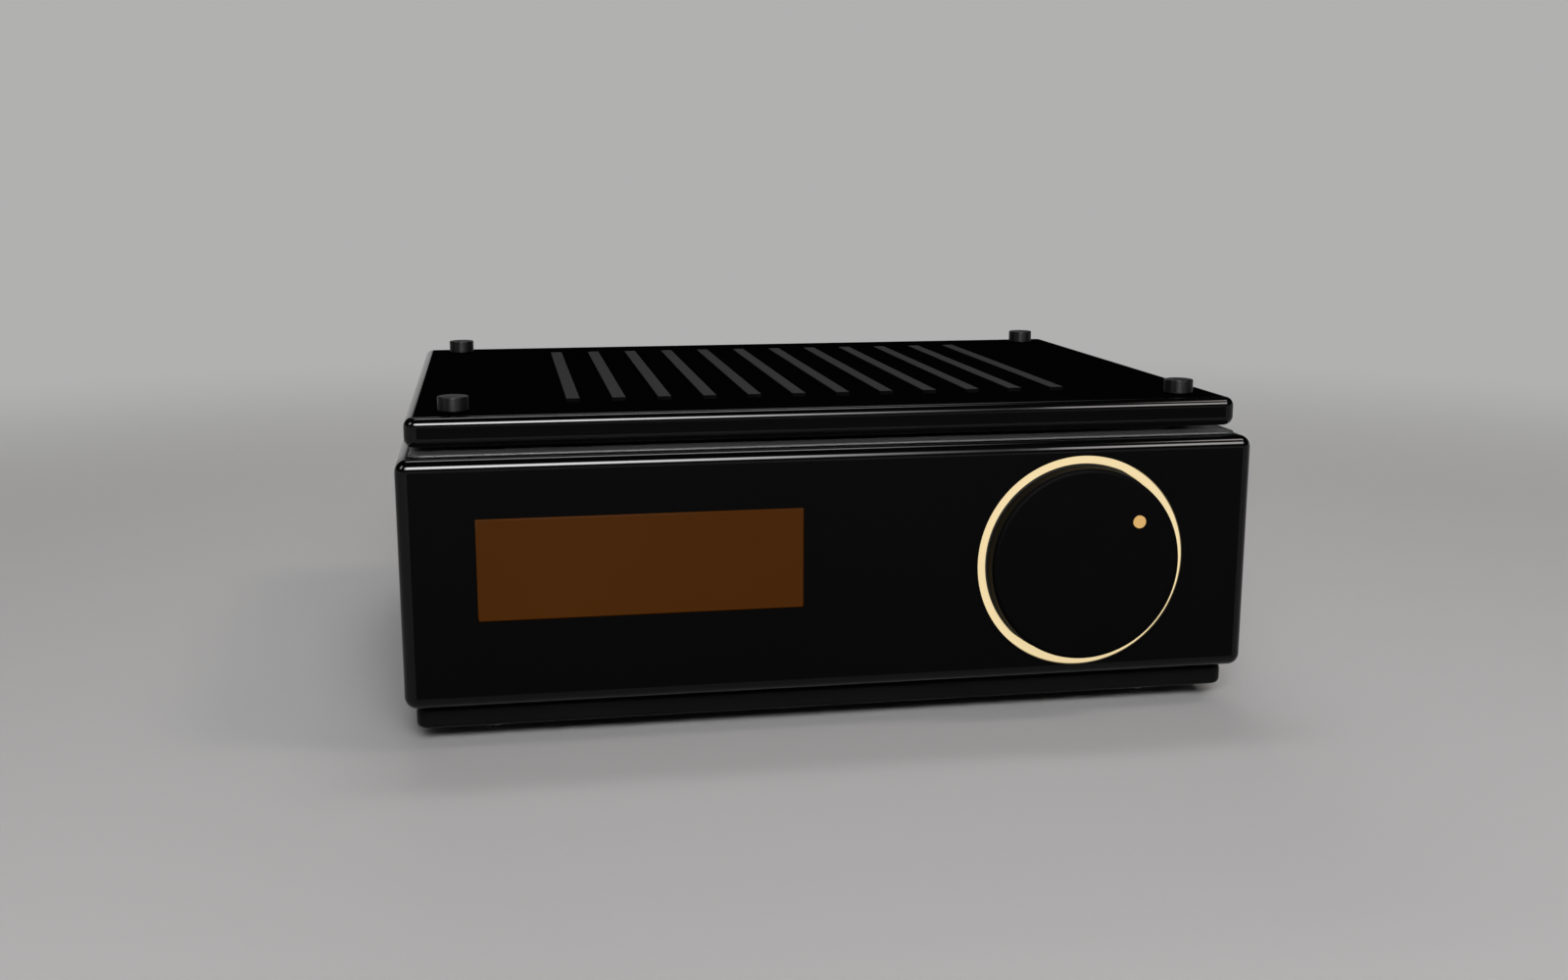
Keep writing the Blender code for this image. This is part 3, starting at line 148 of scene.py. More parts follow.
class ReceiverSizes(bpy.types.PropertyGroup):
    """Sizes of the modelled pieces that the solids' boxes don't give"""
    seam: length("Seam", "Gap between pieces that sit against each other", 0.0003)
    case_rounding: length("Case rounding", "Radius of the case's outer edges", 0.0044)
    plan_corner: length("Corner rounding", "Radius of a plate's corners in plan", 0.0046)
    side_thickness: length("Side thickness", "Thickness of the case's sides", 0.0050)
    block_height: length("Screw block height", "Height of the blocks under the lid's screws", 0.0080)
    block_width: length("Screw block width", "Length of the blocks under the lid's screws", 0.0140)
    lid_thickness: length("Lid thickness", "Thickness of the lid without its bosses", 0.0109)
    lid_rounding: length("Lid rounding", "Radius of the lid's upper and lower edges", 0.0034)
    boss_radius: length("Boss radius", "Radius of the spacers under the lid", 0.0045)
    base_top_rounding: length("Base upper rounding", "Radius of the base plate's upper edge", 0.0040)
    base_bottom_rounding: length("Base lower rounding", "Radius of the base plate's lower edge", 0.0020)
    deck_edge: length("Deck edge", "Rounding of the thin deck's edge", 0.0006)
    fin_count: number("Fins", "Fins that pass through the lid", 12)
    fin_pitch: length("Fin pitch", "Distance from one fin to the next", 0.01734)
    fin_width: length("Fin width", "Thickness of a fin", 0.0053)
    fin_clearance: length("Fin clearance", "Gap round a fin in its slot", 0.0006)
    shank_radius: length("Screw shank", "Radius of the lid screws' shanks", 0.0025)
    rim_rounding: length("Rim rounding", "Rounding of the rims of screws and feet", 0.0004)
    stem_radius: length("Foot stem", "Radius of the feet's stems", 0.0020)
    window_lip: length("Window lip", "Width of the lip behind the display opening", 0.0040)
    window_front: length("Window reach", "Depth of the window in front of its lip", 0.0040)
    ring_lip: length("Ring lip", "Width of the lip behind the light ring", 0.0024)
    ring_lip_thickness: length("Ring lip thickness", "Thickness of that lip", 0.0017)
    ring_width: length("Ring width", "Width of the light ring's face", 0.0026)
    ring_depth: length("Ring depth", "Depth of the ring in front of its lip", 0.0050)
    dial_bore: length("Dial bore", "Radius of the hole in the dial plate", 0.0100)
    knob_rounding: length("Knob rounding", "Radius of the knob's front edge", 0.0016)
    knob_wall: length("Knob wall", "Wall of the hollow knob", 0.0032)
    hub_radius: length("Knob hub", "Radius of the hub inside the knob", 0.0080)
    shaft_radius: length("Shaft radius", "Radius of the volume shaft", 0.0030)
    collar_radius: length("Post collar", "Radius of a speaker post in the rear panel", 0.0050)
    flange_thickness: length("Flange thickness", "Thickness of a post's or aerial's flange", 0.0025)
    stud_radius: length("Stud radius", "Radius of a speaker post's stud", 0.0030)
    stud_bore: length("Stud bore", "Radius of the plug hole in a stud", 0.0021)
    cap_edge: length("Cap edge", "Rounding of a terminal cap's ends", 0.0006)
    flute_radius: length("Flute radius", "Radius of the flutes round a terminal cap", 0.0009)
    flute_depth: length("Flute depth", "Depth of those flutes", 0.0004)
    flute_count: number("Flutes", "Flutes round a terminal cap", 20)
    jack_radius: length("Jack radius", "Outer radius of a phono socket", 0.0042)
    jack_shell: length("Jack shell", "Wall of a phono socket's metal shell", 0.0007)
    jack_bore: length("Jack bore", "Radius of a phono socket's contact hole", 0.0017)
    jack_pitch: length("Jack pitch", "Distance from one phono socket to the next", 0.0150)
    aerial_radius: length("Aerial socket", "Outer radius of the aerial socket", 0.0048)
    aerial_bore: length("Aerial bore", "Inner radius of the aerial socket", 0.0042)
    aerial_pin: length("Aerial pin", "Radius of the aerial socket's pin", 0.0011)
    inlet_flange: length("Inlet flange", "Width of the mains inlet's flange", 0.0030)
    inlet_flange_thickness: length("Inlet flange thickness", "Thickness of that flange", 0.0022)
    inlet_wall: length("Inlet wall", "Wall of the mains inlet", 0.0018)
    inlet_recess: length("Inlet recess", "Depth of the mains inlet's recess", 0.0150)
    inlet_corner: length("Inlet corner", "Cut of the recess's upper corners", 0.0045)
    pin_width: length("Pin width", "Thickness of a mains pin", 0.0020)
    pin_height: length("Pin height", "Height of a mains pin", 0.0040)
    pin_length: length("Pin length", "Length of a mains pin", 0.0100)
    pin_spread: length("Pin spread", "Distance of the outer pins from the middle", 0.0070)
    switch_flange: length("Switch flange", "Width of the switch frame's flange", 0.0020)
    switch_flange_thickness: length("Switch flange thickness", "Thickness of that flange", 0.0018)
    switch_wall: length("Switch wall", "Wall of the switch frame", 0.0016)
    rocker_half: length("Rocker half length", "Half of the rocker's length", 0.0080)
    rocker_face: length("Rocker face", "Distance of the rocker's face from its axis", 0.0030)
    rocker_depth: length("Rocker depth", "Depth of the rocker behind its axis", 0.0065)
    rocker_tilt: bpy.props.FloatProperty(name="Rocker tilt", description="Tilt of the rocker at rest",
                                         default=math.radians(10), subtype="ANGLE")
    bolt_radius: length("Panel screw", "Radius of the rear panel's screw heads", 0.0027)
    bolt_height: length("Panel screw height", "Height of those heads", 0.0016)
    bolt_inset: length("Panel screw inset", "Distance of those screws from the panel's edges", 0.0070)


class ReceiverColours(bpy.types.PropertyGroup):
    """Colours of the finishes, linear"""
    lacquer: colour("Lacquer", "Black of the case and the lid", (0.0010, 0.0010, 0.0010))
    satin: colour("Satin grey", "Anodised grey of the base and fins", (0.004, 0.004, 0.0042))
    # Painted light: a lighter colour on the fins' top faces, standing in for the light that falls on
    # them
    fin_top_painted_light: colour("Fin tops", "Painted light on the fins' top faces", (0.037, 0.037, 0.0373))
    deck: colour("Deck grey", "Lighter anodised grey of the deck", (0.055, 0.055, 0.056))
    screw: colour("Screw grey", "Satin grey of the lid's screws", (0.0050, 0.0050, 0.0053))
    foot: colour("Foot grey", "Turned metal of the feet", (0.550, 0.552, 0.560))
    soft: colour("Knob black", "Soft black of the knob", (0.0012, 0.0012, 0.0013))
    amber: colour("Display", "Glow of the amber display", (0.0536, 0.0157, 0.0008))
    ring: colour("Ring", "Glow of the light ring", (0.830, 0.660, 0.370))
    pointer: colour("Pointer", "Glow of the knob's pointer", (0.635, 0.383, 0.128))
    coat: colour("Sheet coat", "Black powder coat of the rear panel", (0.011, 0.011, 0.011))
    moulding: colour("Moulding", "Black plastic of the sockets", (0.012, 0.012, 0.012))
    red: colour("Red plastic", "Red of the plus terminals and right channel", (0.330, 0.012, 0.010))
    white: colour("White plastic", "White of the left channel", (0.620, 0.610, 0.580))
    gold: colour("Gold plate", "Plating of posts and jacks", (0.760, 0.520, 0.210))
    nickel: colour("Nickel plate", "Plating of washers, pins and fasteners", (0.520, 0.510, 0.490))
    rubber: colour("Rubber", "Black of the pads under the feet", (0.013, 0.013, 0.013))
    zinc: colour("Zinc plate", "Plating of the inner sheet metal", (0.36, 0.36, 0.37))
    board: colour("Solder mask", "Green of the boards", (0.010, 0.058, 0.026))
    sleeve: colour("Sleeve", "Blue of the reservoir capacitors", (0.010, 0.020, 0.085))
    core: colour("Laminations", "Grey of the transformer's core", (0.150, 0.148, 0.145))
    wire: colour("Enamelled wire", "Copper of the transformer's winding", (0.380, 0.130, 0.040))


class ReceiverStage(bpy.types.PropertyGroup):
    """Camera, floor and light"""
    camera_place: bpy.props.FloatVectorProperty(
        name="Camera place", description="Where the camera stands", size=3,
        default=(-0.1237, -0.7000, 0.2065), precision=4, subtype="TRANSLATION", unit="LENGTH")
    camera_turn: bpy.props.FloatVectorProperty(
        name="Camera turn", description="Which way the camera looks", size=3,
        default=(math.radians(78.882), 0.0, math.radians(-10.081)), subtype="EULER", unit="ROTATION")
    camera_lens: bpy.props.FloatProperty(
        name="Lens", description="Focal length on a 36 mm wide sensor, in millimetres", default=37.389)
    floor: colour("Floor", "Pale floor", (0.450, 0.448, 0.445))
    far: colour("Far ground", "Pale ground behind the object", (0.440, 0.438, 0.436))
    high: colour("Upper room", "Dark room above the pale ground", (0.005, 0.005, 0.0055))
    fill: bpy.props.FloatProperty(name="Fill", description="Soft light from all round", default=0.08)


def settings(context):
    """The sizes and the colours that are set in the panel."""
    return context.scene.receiver_sizes, context.scene.receiver_colours


def only(piece):
    """Make one piece the only selected and the active object."""
    bpy.ops.object.select_all(action="DESELECT")
    piece.select_set(True)
    bpy.context.view_layer.objects.active = piece


class Shaping:
    """Edit mode on one piece, starting with nothing selected."""

    def __init__(self, piece, mode):
        self.piece = piece
        self.mode = mode

    def __enter__(self):
        only(self.piece)
        bpy.ops.object.mode_set(mode="EDIT")
        bpy.ops.mesh.select_mode(type=self.mode)
        bpy.ops.mesh.select_all(action="DESELECT")
        return bmesh.from_edit_mesh(self.piece.data)

    def __exit__(self, *problem):
        bpy.ops.object.mode_set(mode="OBJECT")


def settle(name):
    """Name the new object and put its place into its mesh."""
    piece = bpy.context.object
    piece.name = name
    piece.data.name = name
    bpy.ops.object.transform_apply(location=True, rotation=True, scale=True)
    return piece


def block(name, low, high):
    """A box from one corner to the other, to be shaped further."""
    low = Vector(low)
    high = Vector(high)
    bpy.ops.mesh.primitive_cube_add(size=1, location=(low + high) / 2, scale=high - low)
    return settle(name)


def set_down(piece, place):
    """Move a piece to a place and put that into its mesh."""
    piece.matrix_world = place
    only(piece)
    bpy.ops.object.transform_apply(location=True, rotation=True, scale=True)
    return piece


def line(name, points):
    """A line of edges: one point, extruded from place to place."""
    bpy.ops.mesh.primitive_plane_add(size=OVERLAP)
    piece = settle(name)
    with Shaping(piece, "VERT"):
        bpy.ops.mesh.select_all(action="SELECT")
        bpy.ops.mesh.merge(type="CENTER")
        bpy.ops.transform.translate(value=points[0])
        for start, end in zip(points, points[1:]):
            step = [b - a for a, b in zip(start, end)]
            bpy.ops.mesh.extrude_region_move(TRANSFORM_OT_translate={"value": step})
    return piece


def turned(name, outline, place, steps=ROUND_STEPS):
    """Spin a line through (radius, height) pairs about the place's Z axis."""
    piece = line(name, [(radius, 0, height) for radius, height in outline])
    with Shaping(piece, "VERT"):
        bpy.ops.mesh.select_all(action="SELECT")
        bpy.ops.mesh.spin(steps=steps, angle=2 * math.pi, center=(0, 0, 0), axis=(0, 0, 1))
        bpy.ops.mesh.select_all(action="SELECT")
        bpy.ops.mesh.remove_doubles(threshold=MERGE)
        bpy.ops.mesh.normals_make_consistent(inside=False)
    return set_down(piece, place)


def rod(radius, low, high):
    """Outline of a plain rod, for a spacer or a drill."""
    return [(0, low), (radius, low), (radius, high), (0, high)]


def arc(radius, height, rounding, steps=EDGE_STEPS):
    """Outline points of a rounded upper edge, from its flat top out to its side."""
    across, up = radius - rounding, height - rounding
    turns = [math.pi / 2 * step / steps for step in range(steps + 1)]
    return [(across + rounding * math.sin(turn), up + rounding * math.cos(turn)) for turn in turns]


def runs_along(axis):
    """Picks edges that run straight along one axis."""
    def test(first, second):
        gap = second - first
        return abs(gap["xyz".index(axis)]) > gap.length - NEAR
    return test


def lies_at(axis, level):
    """Picks edges that lie in a plane across one axis."""
    along = "xyz".index(axis)
    return lambda first, second: all(abs(point[along] - level) < NEAR for point in (first, second))


def round_edges(piece, test, radius, steps=EDGE_STEPS):
    """Bevel the edges that pass the test to a round."""
    with Shaping(piece, "EDGE") as shape:
        for edge in shape.edges:
            edge.select_set(test(edge.verts[0].co, edge.verts[1].co))
        bpy.ops.mesh.bevel(offset=radius, segments=steps, profile=0.5)


def cut(piece, tool, operation="DIFFERENCE"):
    """Cut a tool out of a piece, or join it on, and take the tool away."""
    modifier = piece.modifiers.new("Cut", "BOOLEAN")
    modifier.operation = operation
    modifier.solver = "EXACT"
    modifier.object = tool
    only(piece)
    bpy.ops.object.modifier_apply(modifier=modifier.name)
    bpy.data.objects.remove(tool)


def plate(name, low, high, corner, *rims):
    """A plate with rounded corners in plan, and rims given by level, radius and steps."""
    piece = block(name, low, high)
    round_edges(piece, runs_along("z"), corner)
    for level, *rounding in rims:
        round_edges(piece, lies_at("z", level), *rounding)
    return piece


def opening(node, inset, start, end):
    """A box for a cut from front to back, set in from the outline of a solid."""
    low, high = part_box(node)
    return block("opening", (low.x + inset, start, low.z + inset),
                 (high.x - inset, end, high.z - inset))


def drill(piece, radius, low, high, place):
    """Cut a round hole."""
    cut(piece, turned("hole", rod(radius, low, high), place, SMALL_STEPS))


def repeat(piece, count, step):
    """Turn a piece into a straight row of itself."""
    modifier = piece.modifiers.new("Row", "ARRAY")
    modifier.count = count
    modifier.use_relative_offset = False
    modifier.use_constant_offset = True
    modifier.constant_offset_displace = step
    only(piece)
    bpy.ops.object.modifier_apply(modifier=modifier.name)
    return piece


def twin(piece, name, shift):
    """A copy of a piece with its own mesh, moved by a shift."""
    only(piece)
    bpy.ops.object.duplicate(linked=False)
    bpy.ops.transform.translate(value=shift)
    return settle(name)


def fit(piece, material, slot, *nodes, body="chassis"):
    """Finish a piece: material, even shading, its body and the solids it stands for. The slot is not
    used.
    """
    piece.data.materials.clear()
    piece.data.materials.append(material)
    only(piece)
    bpy.ops.object.shade_smooth_by_angle(angle=SMOOTH_ANGLE)
    modifier = piece.modifiers.new("Even", "WEIGHTED_NORMAL")
    modifier.keep_sharp = True
    bpy.ops.object.modifier_apply(modifier=modifier.name)
    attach(piece, body)
    if nodes:
        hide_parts(*nodes)
    return piece


def pick_flat(shape, axis, level):
    """Select the faces that lie in a plane across one axis."""
    along = "xyz".index(axis)
    for face in shape.faces:
        face.select_set(all(abs(corner.co[along] - level) < NEAR for corner in face.verts))


def coat_flat(piece, axis, level, material):
    """Give the flat of a piece, at one level of an axis, a material of its own."""
    piece.data.materials.append(material)
    with Shaping(piece, "FACE") as shape:
        pick_flat(shape, axis, level)
        piece.active_material_index = len(piece.data.materials) - 1
        bpy.ops.object.material_slot_assign()


def dress(material, *nodes):
    """Give solids that stay their material."""
    for node in nodes:
        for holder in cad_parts[node].material_slots:
            holder.material = material


def middle(node):
    """Centre of a solid's box."""
    low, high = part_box(node)
    return (low + high) / 2


def half_width(node):
    """Half of a solid's width, which is the radius of a round one."""
    low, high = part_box(node)
    return (high.x - low.x) / 2


def standing(node):
    """Axis of a round piece that stands, its radius, and its two ends measured up from the floor."""
    low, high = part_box(node)
    centre = middle(node)
    return Matrix.Translation((centre.x, centre.y, 0)), half_width(node), low.z, high.z


def on_front(node):
    """Axis of a round piece on the front, its radius, and its two ends measured out of the face."""
    low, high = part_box(node)
    centre = middle(node)
    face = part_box("front_panel")[0].y
    axis = Matrix.Translation((centre.x, face, centre.z)) @ FACING_FRONT
    return axis, half_width(node), face - high.y, face - low.y


def on_rear(node):
    """Axis of a round piece on the rear, its radius, and its two ends measured out of the face."""
    low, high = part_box(node)
    centre = middle(node)
    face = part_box("rear_panel")[1].y
    axis = Matrix.Translation((centre.x, face, centre.z)) @ FACING_REAR
    return axis, half_width(node), low.y - face, high.y - face


class Graph:
    """A node tree that is built up step by step."""

    def __init__(self, tree):
        self.tree = tree

    def node(self, kind, settings=(), **inputs):
        """Add a node. Inputs are plain values or sockets of other nodes."""
        node = self.tree.nodes.new(kind)
        for name, value in settings:
            setattr(node, name, value)
        for name, value in inputs.items():
            self.feed(node.inputs[name.replace("_", " ")], value)
        return node

    def feed(self, socket, value):
        """Link a socket, or set its plain value."""
        if isinstance(value, bpy.types.NodeSocket):
            self.tree.links.new(value, socket)
        else:
            socket.default_value = value

    def math(self, operation, first, second):
        """Work out one value from two."""
        node = self.node("ShaderNodeMath", (("operation", operation),))
        self.feed(node.inputs[0], first)
        self.feed(node.inputs[1], second)
        return node.outputs["Value"]

    def mix(self, share, first, second):
        """Mix two linear colours, through the sockets that a mix of colours uses."""
        node = self.node("ShaderNodeMix", (("data_type", "RGBA"),))
        for place, value in ((0, share), (6, first), (7, second)):
            self.feed(node.inputs[place], value)
        return node.outputs[2]

    def fade(self, value, start, stop):
        """A value that goes smoothly from 0 at the start to 1 at the stop."""
        smooth = (("interpolation_type", "SMOOTHSTEP"),)
        return self.node("ShaderNodeMapRange", smooth, Value=value, From_Min=start,
                         From_Max=stop).outputs["Result"]

    def shown(self):
        """A value that is 1 for rays that show a thing: straight, mirrored or through glass."""
        ray = self.node("ShaderNodeLightPath").outputs
        mirrored = self.math("MAXIMUM", ray["Is Glossy Ray"], ray["Is Transmission Ray"])
        return self.math("MAXIMUM", ray["Is Camera Ray"], mirrored)


class Finish(Graph):
    """A procedural material: soft clouds in colour and roughness, and fine grain in the surface."""

    def __init__(self, name, shade, roughness, drift=0.15, metallic=0.0, specular=0.5, cloud=18.0,
                 grain=2500.0, depth=0.000003, stretch=(1, 1, 1), centre=(0, 0, 0)):
        self.material = bpy.data.materials.new(name)
        self.material.use_nodes = True
        super().__init__(self.material.node_tree)
        self.shader = self.tree.nodes["Principled BSDF"]
        self.shader.inputs["Metallic"].default_value = metallic
        self.shader.inputs["Specular IOR Level"].default_value = specular
        place = self.node("ShaderNodeTexCoord").outputs["Object"]
        self.place = self.node("ShaderNodeMapping", Vector=place, Scale=stretch,
                               Location=[-a * b for a, b in zip(centre, stretch)]).outputs["Vector"]
        self.clouds = self.noise(cloud, CLOUD_DETAIL)
        self.tint("Base Color", shade, drift, self.clouds)
        self.range("Roughness", self.clouds, *roughness)
        self.relief(self.noise(grain, GRAIN_DETAIL), depth)

    def noise(self, scale, detail):
        """Soft random patches."""
        return self.node("ShaderNodeTexNoise", Vector=self.place, Scale=scale,
                         Detail=detail).outputs["Fac"]

    def bands(self, kind, direction, pitch):
        """Ridges at a pitch: straight ones along a direction, or rings round it."""
        settings = (("wave_type", kind), (f"{kind.lower()}_direction", direction))
        return self.node("ShaderNodeTexWave", settings, Vector=self.place,
                         Scale=RIDGE_SPACING / pitch).outputs["Fac"]

    def tint(self, socket, shade, drift, pattern):
        """Let a colour drift to both sides of a shade, following a pattern."""
        low = [part * (1 - drift) for part in shade]
        high = [min(part * (1 + drift), 1.0) for part in shade]
        self.feed(self.shader.inputs[socket], self.mix(pattern, (*low, 1.0), (*high, 1.0)))

    def range(self, socket, pattern, low, high):
        """Drive a value between two limits by a pattern."""
        node = self.node("ShaderNodeMapRange", Value=pattern, From_Min=NOISE_SPAN[0],
                         From_Max=NOISE_SPAN[1], To_Min=low, To_Max=high)
        self.feed(self.shader.inputs[socket], node.outputs["Result"])

    def relief(self, height, depth):
        """Raise the surface by a pattern, on top of what is there."""
        bump = self.node("ShaderNodeBump", Height=height, Distance=depth)
        before = self.shader.inputs["Normal"].links
        if before:
            self.feed(bump.inputs["Normal"], before[0].from_socket)
        self.feed(self.shader.inputs["Normal"], bump.outputs["Normal"])

    def glow(self, shade, drift):
        """Let the surface give light of a shade that drifts a little."""
        self.tint("Emission Color", shade, drift, self.clouds)
        self.shader.inputs["Emission Strength"].default_value = 1.0


def lacquer(name, specular=POLISHED):
    """Black lacquer with a trace of orange peel."""
    shade = bpy.context.scene.receiver_colours.lacquer
    return Finish(name, shade, (0.07, 0.11), drift=0.25, specular=specular, cloud=9.0, grain=420.0,
                  depth=0.0000006).material


def satin(name, shade, specular):
    """Bead blasted and anodised grey."""
    return Finish(name, shade, (0.28, 0.36), drift=0.12, specular=specular, cloud=30.0, grain=3500.0,
                  depth=0.000006).material


def fins_with_painted_lit_tops(name, shade, painted_top_shade, level):
    """Dark anodised fins with painted light that makes their top faces lighter, and the grain along
    them.
    """
    made = Finish(name, shade, (0.32, 0.40), drift=0.12, specular=MATT, cloud=30.0, grain=3500.0,
                  depth=0.000006, stretch=(1.0, 0.02, 1.0))
    # Painted light: the top faces get a lighter colour than the sides, fading in just below the top
    height = made.node("ShaderNodeSeparateXYZ", Vector=made.place).outputs["Z"]
    painted_light_share = made.fade(height, *[level - below for below in FIN_PAINTED_LIGHT_FADE])
    colour_in = made.shader.inputs["Base Color"]
    sides = colour_in.links[0].from_socket
    made.tint("Base Color", painted_top_shade, drift=0.12, pattern=made.clouds)
    made.feed(colour_in, made.mix(painted_light_share, sides, colour_in.links[0].from_socket))
    return made.material


def turned_metal(name, centre, axis, shade, roughness=(0.24, 0.34)):
    """Metal from the lathe, with fine turning lines round its own axis."""
    made = Finish(name, shade, roughness, drift=0.10, metallic=1.0, cloud=120.0, grain=4000.0,
                  depth=0.000002, centre=centre)
    made.relief(made.bands("RINGS", axis, TURNING_PITCH), TURNING_DEPTH)
    return made.material


def soft_black(name, centre):
    """Soft black coat that takes a broad, weak sheen."""
    shade = bpy.context.scene.receiver_colours.soft
    return Finish(name, shade, (0.52, 0.62), drift=0.15, specular=0.02, cloud=40.0, grain=1800.0,
                  depth=0.000003, centre=centre).material


def moulded(name, shade, roughness=(0.36, 0.48)):
    """Plastic from a finely eroded mould."""
    return Finish(name, shade, roughness, drift=0.10, cloud=60.0, grain=2600.0, depth=0.000010).material


def diffuser(name, shade, cloud):
    """Milky plastic that glows in its own shade."""
    body = [part * DIFFUSER_BODY for part in shade]
    made = Finish(name, body, (0.40, 0.50), drift=0.05, specular=0.2, cloud=cloud, grain=1500.0,
                  depth=0.000004)
    made.glow(shade, drift=0.03)
    return made.material


class RECEIVER_OT_front_panel(bpy.types.Operator):
    """Model the lacquered front with its display opening and its ring bore"""
    bl_idname = "receiver.front_panel"
    bl_label = "Front panel"

    def execute(self, context):
        sizes = context.scene.receiver_sizes
        seam = sizes.seam
        low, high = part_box("front_panel")
        panel = block("front_fascia", low, high)
        round_edges(panel, runs_along("y"), sizes.plan_corner)
        round_edges(panel, lies_at("y", low.y), sizes.case_rounding)
        cuts = ((sizes.window_lip - seam, low.y - OVERLAP), (-seam, low.y + sizes.window_front))
        for inset, start in cuts:
            cut(panel, opening("display_window", inset, start, high.y + OVERLAP))
        axis, radius, *_ = on_front("light_ring")
        lip = radius + seam
        back = low.y - high.y - OVERLAP
        inner = lip - sizes.ring_lip
        bore = [(0, back), (lip, back), (lip, -sizes.ring_depth), (inner, -sizes.ring_depth),
                (inner, OVERLAP), (0, OVERLAP)]
        cut(panel, turned("bore", bore, axis))
        fit(panel, lacquer("front_lacquer"), "gloss_black", "front_panel")
        coat_flat(panel, "y", low.y, lacquer("front_flat_lacquer", DULLED))
        return {"FINISHED"}


class RECEIVER_OT_side_panels(bpy.types.Operator):
    """Model the two lacquered sides and their inner screw blocks"""
    bl_idname = "receiver.side_panels"
    bl_label = "Side panels"

    def execute(self, context):
        sizes = context.scene.receiver_sizes
        for name in ("left", "right"):
            low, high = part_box(f"side_panel_{name}")
            side = 1 if name == "right" else -1
            outer = high.x if side > 0 else low.x
            inner = outer - side * sizes.side_thickness
            panel = block(f"side_cheek_{name}", (min(outer, inner), low.y, low.z),
                          (max(outer, inner), high.y, high.z))
            round_edges(panel, self.outer_edges(outer, high.y), sizes.case_rounding)
            corners = (f"front_{name}", f"rear_{name}")
            for corner in corners:
                cut(panel, self.screw_block(sizes, side, inner, high.z, corner), "UNION")
            for corner in corners:
                screw_hole(panel, sizes, corner, high.z - BLOCK_DROP * sizes.block_height, high.z)
            fit(panel, lacquer(f"side_lacquer_{name}"), "gloss_black", f"side_panel_{name}")
        return {"FINISHED"}

    def outer_edges(self, outer, back):
        """Picks the outer edges, apart from the one against the front panel."""
        def test(first, second):
            on_face = abs(first.x - outer) < NEAR and abs(second.x - outer) < NEAR
            return on_face and (abs(first.y - back) < NEAR or abs(second.y - back) < NEAR)
        return test

    def screw_block(self, sizes, side, inner, top, corner):
        """A block on the side's inner face, its underside cut to a slope."""
        place = middle(f"lid_screw_{corner}")
        half = sizes.block_width / 2
        reach = place.x - side * half
        xs = sorted((reach, inner + side * OVERLAP))
        bottom = top - BLOCK_DROP * sizes.block_height
        tool = block("screw_block", (xs[0], place.y - half, bottom),
                     (xs[1], place.y + half, top - sizes.seam))
        with Shaping(tool, "FACE"):
            bpy.ops.mesh.select_all(action="SELECT")
            fall = sizes.block_height * (BLOCK_DROP - 1)
            slope = Vector((-side * fall, 0, -abs(inner - reach)))
            bpy.ops.mesh.bisect(plane_co=(reach, place.y, top - sizes.block_height), plane_no=slope,
                                use_fill=True, clear_outer=True)
        return tool


class RECEIVER_OT_lid(bpy.types.Operator):
    """Model the lacquered lid with its fin slots, spacers and screw holes"""
    bl_idname = "receiver.lid"
    bl_label = "Lid"

    def execute(self, context):
        sizes = context.scene.receiver_sizes
        low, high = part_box("lid")
        bottom = high.z - sizes.lid_thickness
        lid = plate("lid_plate", (low.x, low.y, bottom), high, sizes.plan_corner,
                    (high.z, sizes.lid_rounding), (bottom, sizes.lid_rounding))
        boss = rod(sizes.boss_radius, low.z, bottom + OVERLAP)
        for corner in CORNERS:
            axis = standing(f"lid_screw_{corner}")[0]
            cut(lid, turned("boss", boss, axis, SMALL_STEPS), "UNION")
        cut(lid, fin_slots(sizes, bottom - OVERLAP, high.z + OVERLAP))
        for corner in CORNERS:
            screw_hole(lid, sizes, corner, low.z - OVERLAP, high.z)
        fit(lid, lacquer("lid_lacquer"), "gloss_black", "lid")
        coat_flat(lid, "z", high.z, lacquer("lid_flat_lacquer", MATT))
        coat_flat(lid, "y", low.y, lacquer("lid_front_lacquer", DULLED))
        return {"FINISHED"}


def screw_hole(piece, sizes, corner, low, high):
    """Cut the hole of a lid screw, through the top of a piece."""
    axis = standing(f"lid_screw_{corner}")[0]
    drill(piece, sizes.shank_radius + sizes.seam, low, high + OVERLAP, axis)


def fin_slots(sizes, low, high):
    """A row of boxes that cuts the slots round the fins."""
    sink_low, sink_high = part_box("heat_sink")
    gap = sizes.fin_clearance
    first = -sizes.fin_pitch * (sizes.fin_count - 1) / 2
    half = sizes.fin_width / 2 + gap
    slot = block("slots", (first - half, sink_low.y - gap, low),
                 (first + half, sink_high.y + gap, high))
    return repeat(slot, sizes.fin_count, (sizes.fin_pitch, 0, 0))


class RECEIVER_OT_plates(bpy.types.Operator):
    """Model the thin deck under the lid and the base plate"""
    bl_idname = "receiver.plates"
    bl_label = "Deck and base plate"

    def execute(self, context):
        sizes, colours = settings(context)
        low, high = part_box("top_deck")
        deck = plate("deck_sheet", low, high, sizes.plan_corner,
                     (high.z, sizes.deck_edge, FINE_EDGE_STEPS))
        cut(deck, fin_slots(sizes, low.z - OVERLAP, high.z + OVERLAP))
        for corner in CORNERS:
            screw_hole(deck, sizes, corner, low.z - OVERLAP, high.z)
        fit(deck, satin("deck_satin", colours.deck, DECK_SHEEN), "grey_sheet", "top_deck")
        low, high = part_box("base_plate")
        base = plate("base_tray", low, high, sizes.plan_corner,
                     (high.z, sizes.base_top_rounding), (low.z, sizes.base_bottom_rounding))
        for corner in CORNERS:
            axis, _, _, top = standing(f"foot_{corner}")
            drill(base, sizes.stem_radius + sizes.seam, low.z - OVERLAP, top + sizes.seam, axis)
        fit(base, satin("base_satin", colours.satin, BASE_SHEEN), "satin_grey", "base_plate")
        return {"FINISHED"}


